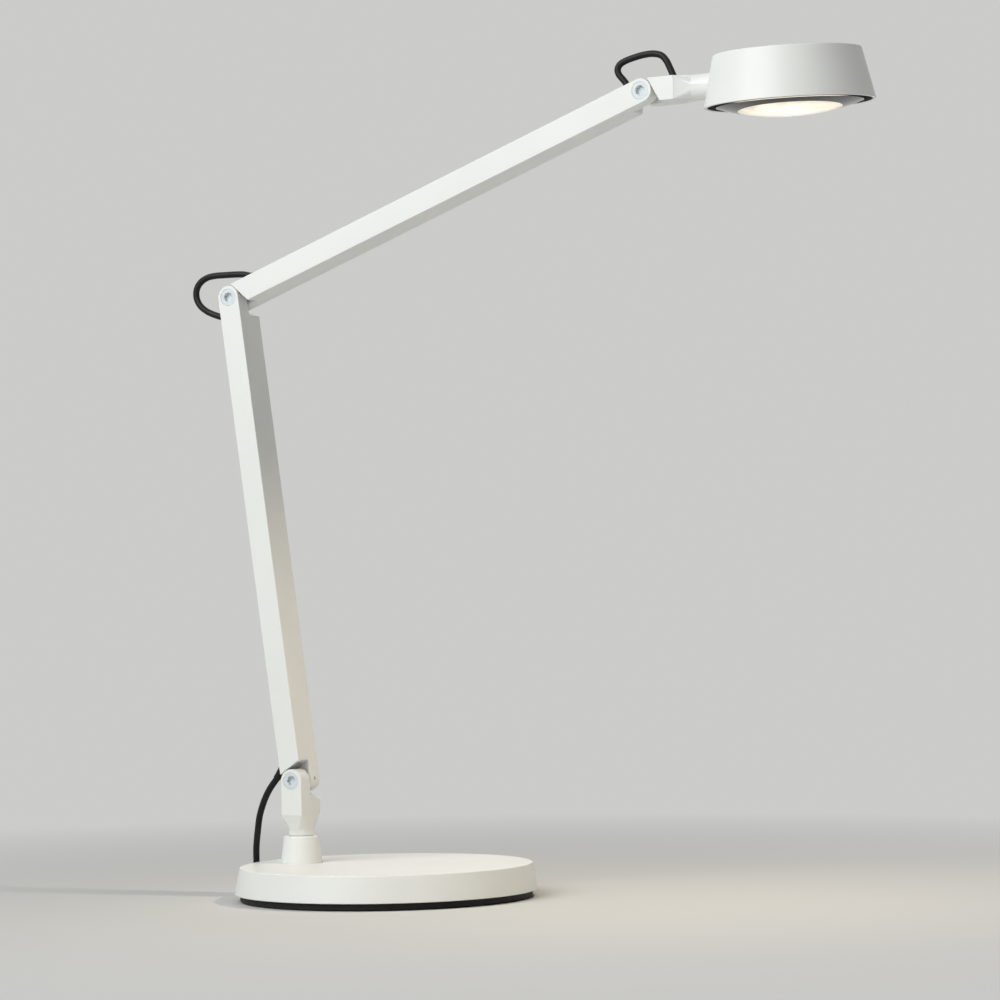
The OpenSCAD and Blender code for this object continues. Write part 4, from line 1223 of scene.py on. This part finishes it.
class LAMP_OT_arms(bpy.types.Operator):
    """Models the two equal hollow arms with their half-lap ends"""
    bl_idname = "lamp.arms"
    bl_label = "Arms"

    def execute(self, context):
        for arm, frame in (("lower_arm", LOWER), ("upper_arm", UPPER)):
            piece = self.bar(arm + "_bar")
            mouth = low_port(arm)
            ends = [mouth + out * MM * PORT_OUT for out in (-7, 12)]
            cut(piece, rod("low_port", PORT_RADIUS, *ends, 48))
            coat(piece, frame, arm, arm + "_tube", 30)
        return {"FINISHED"}

    def bar(self, name):
        sizes = settings().arm
        ear = sizes.depth / 2
        half = sizes.width / 2
        lap = sizes.lap_gap / 2
        inside = ear - sizes.wall
        bar = block(name, (-ear, -half, -ear), (ARM_LENGTH + ear, half, ear))
        round_end(bar, -ear, ear)
        round_end(bar, ARM_LENGTH + ear, ear)
        cut(bar, shoulder_tool(0, True, -30 * MM, lap, sizes.shoulder))
        cut(bar, shoulder_tool(ARM_LENGTH, False, -lap, 30 * MM, sizes.shoulder))
        soften(bar, sizes.edge)
        side = half - sizes.wall
        hollow = block("hollow", (-inside, -side, -inside), (ARM_LENGTH + inside, side, inside))
        round_end(hollow, -inside, inside)
        round_end(hollow, ARM_LENGTH + inside, inside)
        cut(bar, hollow)
        end = ARM_LENGTH
        port = ARM_LENGTH - HIGH_PORT
        cut(
            bar,
            rod("nut_pocket", NUT_POCKET, (0, half - NUT_DEPTH, 0), (0, half + 1 * MM, 0), 96),
            rod("head_pocket", HEAD_POCKET, (end, -half - 1 * MM, 0), (end, HEAD_DEPTH - half, 0), 96),
            rod("high_port", PORT_RADIUS, (port, 0, 5 * MM), (port, 0, 16 * MM), 48),
            rod("set_screw_hole", 1.25 * MM, (0, 6.25 * MM, -10 * MM), (0, 6.25 * MM, 0), 32),
        )
        hole = 1.55 * MM
        for x in (SCREW_INSET, ARM_LENGTH - SCREW_INSET):
            cut(
                bar,
                rod("screw_hole", hole, (x, 0, ear - 4 * MM), (x, 0, ear + 1 * MM), 32),
                cone("countersink", hole, hole + 1.5 * MM, (x, 0, ear - 1.3 * MM), (x, 0, ear + 0.2 * MM)),
            )
        return bar


class LAMP_OT_hinge_bolts(bpy.types.Operator):
    """Models the bolts of the three hinges and their nuts"""
    bl_idname = "lamp.hinge_bolts"
    bl_label = "Hinge bolts"

    def execute(self, context):
        half = settings().arm.width / 2
        bolt = self.bolt(half)
        nut = self.nut(half)
        for hinge, frame, body in HINGES:
            for piece, kind in ((bolt, "bolt"), (nut, "nut")):
                made = twin(piece, f"{hinge}_hinge_{kind}")
                place(made, frame)
                dress(made, finish(f"{hinge}_zinc"), body, "bolt_zinc", f"{hinge}_{kind}")
        bpy.data.objects.remove(bolt)
        bpy.data.objects.remove(nut)
        return {"FINISHED"}

    def lay(self, piece):
        """Smooths a piece made round Z and turns it so that its top points to the far side."""
        smooth(piece, 25)
        even(piece)
        return place(piece, Matrix.Rotation(math.radians(-90), 4, "X"))

    def bolt(self, half):
        """Flat round head with a hexagon socket, chamfered rim and a shank."""
        radius = settings().arm.bolt_radius
        shank = 3 * MM
        edge = 0.35 * MM
        low = SUNK - half
        under = low + 4.2 * MM
        profile = [(radius - edge, low)]
        profile += arc((radius - edge, low + edge), edge, -90, 0, 5)
        profile += [
            (radius, under), (shank, under), (shank, half - 0.75 * MM), (shank - 0.2 * MM, half - 0.55 * MM),
        ]
        piece = turned("bolt_shape", profile, 96, 25)
        bpy.ops.object.select_all(action="DESELECT")
        bpy.ops.mesh.primitive_cylinder_add(
            vertices=6, radius=3 * MM / math.cos(math.radians(30)), depth=4 * MM,
            location=(0, 0, low + 0.8 * MM)
        )
        socket = settle(named("socket"))
        lead_in = cone("lead_in", 3.75 * MM, 3 * MM, (0, 0, low - 0.05 * MM), (0, 0, low + 0.45 * MM))
        cut(piece, socket, lead_in)
        return self.lay(piece)

    def nut(self, half):
        """Round nut with a cross slot, over the end of the shank."""
        top = half - SUNK
        low = top - 3.25 * MM
        outer = 5.85 * MM
        bore = 3.02 * MM
        edge = 0.35 * MM
        profile = [(bore, low), (outer, low)]
        profile += arc((outer - edge, top - edge), edge, 0, 90, 5)
        profile += [(bore + 0.38 * MM, top), (bore, top - 0.38 * MM), (bore, low)]
        piece = turned("nut_shape", profile, 96, 25)
        for turn in (0, 90):
            slot = block("slot", (-8 * MM, -0.7 * MM, top - 1 * MM), (8 * MM, 0.7 * MM, top + 1 * MM))
            place(slot, Matrix.Rotation(math.radians(turn), 4, "Z"))
            cut(piece, slot)
        return self.lay(piece)


# ---- head ----

LENS_FLANGE = 1.9 * MM
MOUTH_INSET = 13.6 * MM  # of the reflector's mouth from the lens's edge


class LAMP_OT_head_knuckle(bpy.types.Operator):
    """Models the knuckle whose neck carries the drum"""
    bl_idname = "lamp.head_knuckle"
    bl_label = "Head knuckle"

    def execute(self, context):
        half = settings().arm.width / 2
        ear = settings().arm.depth / 2
        slant = math.radians(25)
        piece = knuckle("head_knuckle_white", 66.4 * MM)
        mouth = Vector((20 * MM, 0, ear))
        out = Vector((-math.sin(slant), 0, math.cos(slant)))
        cut(
            piece,
            rod("sleeve_hole", 4.55 * MM, (0, -1 * MM, 0), (0, half + 1 * MM, 0), 64),
            rod("nut_pocket", NUT_POCKET, (0, half - NUT_DEPTH, 0), (0, half + 1 * MM, 0), 96),
            rod("cable_port", 2.6 * MM, mouth - 8.5 * MM * out, mouth + 3.5 * MM * out, 40),
            rod("cable_bore", 4 * MM, (20.5 * MM, 0, 0), (75 * MM, 0, 0), 64),
        )
        coat(piece, HEAD_KNUCKLE, "head_joint", "head_knuckle", 30)
        return {"FINISHED"}


class LAMP_OT_drum(bpy.types.Operator):
    """Models the drum head with its ring, lens, reflector, light board and dimmer button"""
    bl_idname = "lamp.drum"
    bl_label = "Drum head"

    def execute(self, context):
        sizes = settings().head
        self.shell(sizes)
        self.ring(sizes)
        self.lens(sizes)
        self.reflector(sizes)
        self.emitter()
        self.button(sizes)
        return {"FINISHED"}

    def slope(self, sizes):
        """How much the drum widens per unit of its height."""
        return (sizes.rim_radius - sizes.top_radius) / (sizes.above + sizes.below)

    def shell(self, sizes):
        rim = (sizes.rim_radius, -sizes.below)
        centre = (sizes.top_radius - sizes.top_round, sizes.above - sizes.top_round)
        start = lean(rim, centre, sizes.top_round)
        slope = self.slope(sizes)
        roof = 2.5 * MM
        ceiling = sizes.above - roof
        hole = sizes.button_radius + 0.3 * MM
        edge = 0.35 * MM
        inside = rim[0] - sizes.wall
        profile = [(inside, rim[1]), (rim[0] - 0.25 * MM, rim[1]), (rim[0] - 0.05 * MM, rim[1] + 0.2 * MM)]
        profile += arc(centre, sizes.top_round, start, 90, 10)
        profile += [
            (hole + edge, sizes.above), (hole, sizes.above - edge), (hole, ceiling),
            (sizes.top_radius + slope * roof - sizes.wall, ceiling), (inside, rim[1]),
        ]
        piece = turned("drum_shell", profile, 192, 25)
        wall_x = -(sizes.top_radius + slope * sizes.above)
        neck_hole = rod("neck_hole", 8.85 * MM, (wall_x - 12 * MM, 0, 0), (wall_x + 20 * MM, 0, 0), 96)
        bearing = rod("bearing", 11.7 * MM, (wall_x + 1.5 * MM, 0, 0), (wall_x + 14 * MM, 0, 0), 96)
        fuse(piece, bearing)
        posts = four_spots(34 * MM)
        top = ceiling + 0.2 * MM
        fuse(piece, *(rod("post", 3.5 * MM, (x, y, 2.8 * MM), (x, y, top), 32) for x, y in posts))
        holes = [rod("post_hole", 1.4 * MM, (x, y, 1.8 * MM), (x, y, 10.8 * MM), 24) for x, y in posts]
        cut(piece, neck_hole, *holes)
        coat(piece, DRUM, "head", "head_shell")

    def ring(self, sizes):
        """Black ring flush with the rim, a thin lip over the lens."""
        low = -sizes.below + 0.2 * MM
        lip = -sizes.below + 1.6 * MM
        top = -sizes.below + 5 * MM
        slope = self.slope(sizes)
        outer = sizes.rim_radius - sizes.wall - 0.1 * MM
        inner = sizes.lens_radius + 0.15 * MM
        seat = sizes.lens_radius + 2.1 * MM
        profile = [
            (inner, lip), (inner, low + 0.5 * MM), (inner + 0.15 * MM, low + 0.2 * MM),
            (inner + 0.5 * MM, low), (outer - 0.3 * MM, low), (outer, low + 0.2 * MM),
            (outer - slope * (top - low), top), (seat, top), (seat, lip), (inner, lip),
        ]
        piece = turned("lens_ring", profile, 192, 25)
        place(piece, DRUM)
        dress(even(piece), finish("ring"), "head", "bezel_plastic", "bezel_ring")

    def lens(self, sizes):
        """Clear solid lens: domed below, with a thin flange and a flat back that is lit in the middle, with
        a near-black painted shade on the back's margin.
        """
        radius = sizes.lens_radius
        bulge = sizes.lens_bulge
        edge = radius + LENS_FLANGE
        middle = 0.2 * MM
        ball = (radius * radius + bulge * bulge) / (2 * bulge)
        centre = -sizes.below - 0.1 * MM - bulge + ball
        flange = -sizes.below + 1.7 * MM
        back = flange + 2.2 * MM
        profile = [(middle, centre - ball)]
        for step in range(1, 25):
            out = radius * step / 24
            profile.append((out, centre - math.sqrt(ball * ball - out * out)))
        profile += [
            (radius, flange), (edge - 0.2 * MM, flange), (edge, flange + 0.2 * MM),
            (edge, back), (sizes.glow_radius, back), (middle, back),
        ]
        piece = turned("lens_dome", profile, 160, 30)
        place(piece, DRUM)
        dress(piece, finish("lens"), "head", "lens_clear", "lens")
        piece.data.materials.append(finish("glow"))
        piece.data.materials.append(finish("dark_rim"))
        # The back's disc inside the glow radius glows; its margin gets the near-black painted shade of the
        # unlit reflector flange behind it.
        inward = DRUM.inverted()
        for face in piece.data.polygons:
            spot = inward @ face.center
            if spot.z > back - 0.1 * MM:
                face.material_index = 1 if math.hypot(spot.x, spot.y) < sizes.glow_radius else 2

    def reflector(self, sizes):
        """White cone whose mouth lights the middle of the lens's back."""
        rim = -sizes.below + 4 * MM
        mouth = sizes.lens_radius - MOUTH_INSET
        edge = sizes.lens_radius + LENS_FLANGE
        wall = 1 * MM
        high = -4 * MM
        profile = [
            (mouth, rim), (edge, rim), (edge, rim + wall), (mouth + wall, rim + wall),
            (10 * MM, high), (9 * MM, high), (mouth, rim),
        ]
        piece = turned("white_reflector", profile, 128, 20)
        place(piece, DRUM)
        dress(piece, finish("reflector"), "head", "reflector_white", "reflector")

    def emitter(self):
        """Round light board with a raised yellow emitter."""
        profile = outline((7.2, -3.2), (7.5, -2.9), (7.5, -1.8), (14.8, -1.8), (15, -1.6), (15, -0.2))
        piece = turned("light_board", profile, 96, 25)
        place(piece, DRUM)
        dress(piece, finish("emitter"), "head", "led_yellow", "led_board")

    def button(self, sizes):
        """Flat dimmer button with a shallow finger dish."""
        radius = sizes.button_radius
        top = sizes.above + 0.8 * MM
        under = sizes.above - 2.8 * MM
        stem = 2.4 * MM
        flange = radius + 1.2 * MM
        edge = 0.6 * MM
        profile = [
            (stem, 12.8 * MM), (stem, under - 1 * MM), (flange, under - 1 * MM), (flange, under),
            (radius, under),
        ]
        profile += arc((radius - edge, top - edge), edge, 0, 90, 6)
        profile += [
            (radius - 1.4 * MM, top), (radius - 2.4 * MM, top - 0.12 * MM), (4 * MM, top - 0.35 * MM),
            (1 * MM, top - 0.4 * MM),
        ]
        piece = turned("dimmer_button_cap", profile, 96, 25)
        place(piece, DRUM)
        dress(even(piece), finish("button"), "button", "button_white", "dimmer_button")


# ---- finishes of the parts that stay as packed ----

PACKED_FINISHES = {
    "plate": ("base_plate",),
    "iron": ("base_weight",),
    "steel": (
        "base_screws", "collar_nut", "stem_pin", "stem_clip", "foot_springs", "elbow_springs",
        "head_springs", "twist_washer", "twist_clip", "head_screws",
    ),
    "brass": ("foot_sleeve", "elbow_sleeve", "head_sleeve"),
    "nylon": ("collar_bush",),
    "fibre": ("foot_disc", "elbow_disc", "head_disc"),
    "aluminium": (
        "lower_arm_foot_insert", "lower_arm_elbow_insert", "upper_arm_elbow_insert",
        "upper_arm_head_insert", "heat_sink",
    ),
    "screw": ("lower_arm_screws", "upper_arm_screws"),
    "cable": ("upper_arm_cable", "neck_cable"),
    "board": ("dimmer_board",),
    "nickel": ("plug_pins",),
}


class LAMP_OT_packed_parts(bpy.types.Operator):
    """Gives the parts that stay as packed their finishes"""
    bl_idname = "lamp.packed_parts"
    bl_label = "Inner parts"

    def execute(self, context):
        for name, nodes in PACKED_FINISHES.items():
            for node in nodes:
                part = NODES[node]
                part.data.materials.clear()
                part.data.materials.append(finish(name))
        return {"FINISHED"}


class LAMP_PT_panel(bpy.types.Panel):
    bl_label = "Desk lamp"
    bl_space_type = "VIEW_3D"
    bl_region_type = "UI"
    bl_category = "Desk lamp"

    def draw(self, context):
        lamp = context.scene.desk_lamp
        for group in (lamp.base, lamp.arm, lamp.head, lamp.cable, lamp.colour):
            box = self.layout.box()
            for key in type(group).__annotations__:
                box.prop(group, key)
        for operator in OPERATORS:
            self.layout.operator(operator.bl_idname)


OPERATORS = (
    LAMP_OT_stage, LAMP_OT_power_cord, LAMP_OT_cable_loops, LAMP_OT_base, LAMP_OT_foot_knuckle,
    LAMP_OT_arms, LAMP_OT_hinge_bolts, LAMP_OT_head_knuckle, LAMP_OT_drum, LAMP_OT_packed_parts,
)
CLASSES = (
    BaseSizes, ArmSizes, HeadSizes, CableSizes, Colours, LampSettings, *OPERATORS, LAMP_PT_panel,
)


def register():
    for made in CLASSES:
        bpy.utils.register_class(made)
    bpy.types.Scene.desk_lamp = bpy.props.PointerProperty(
        type=LampSettings, name="Desk lamp", description="Sizes and colours of the desk lamp"
    )


def unregister():
    del bpy.types.Scene.desk_lamp
    for made in reversed(CLASSES):
        bpy.utils.unregister_class(made)


def main():
    register()
    make_finishes()
    for operator in OPERATORS:
        group, name = operator.bl_idname.split(".")
        getattr(getattr(bpy.ops, group), name)()


if __name__ == "__main__":
    main()
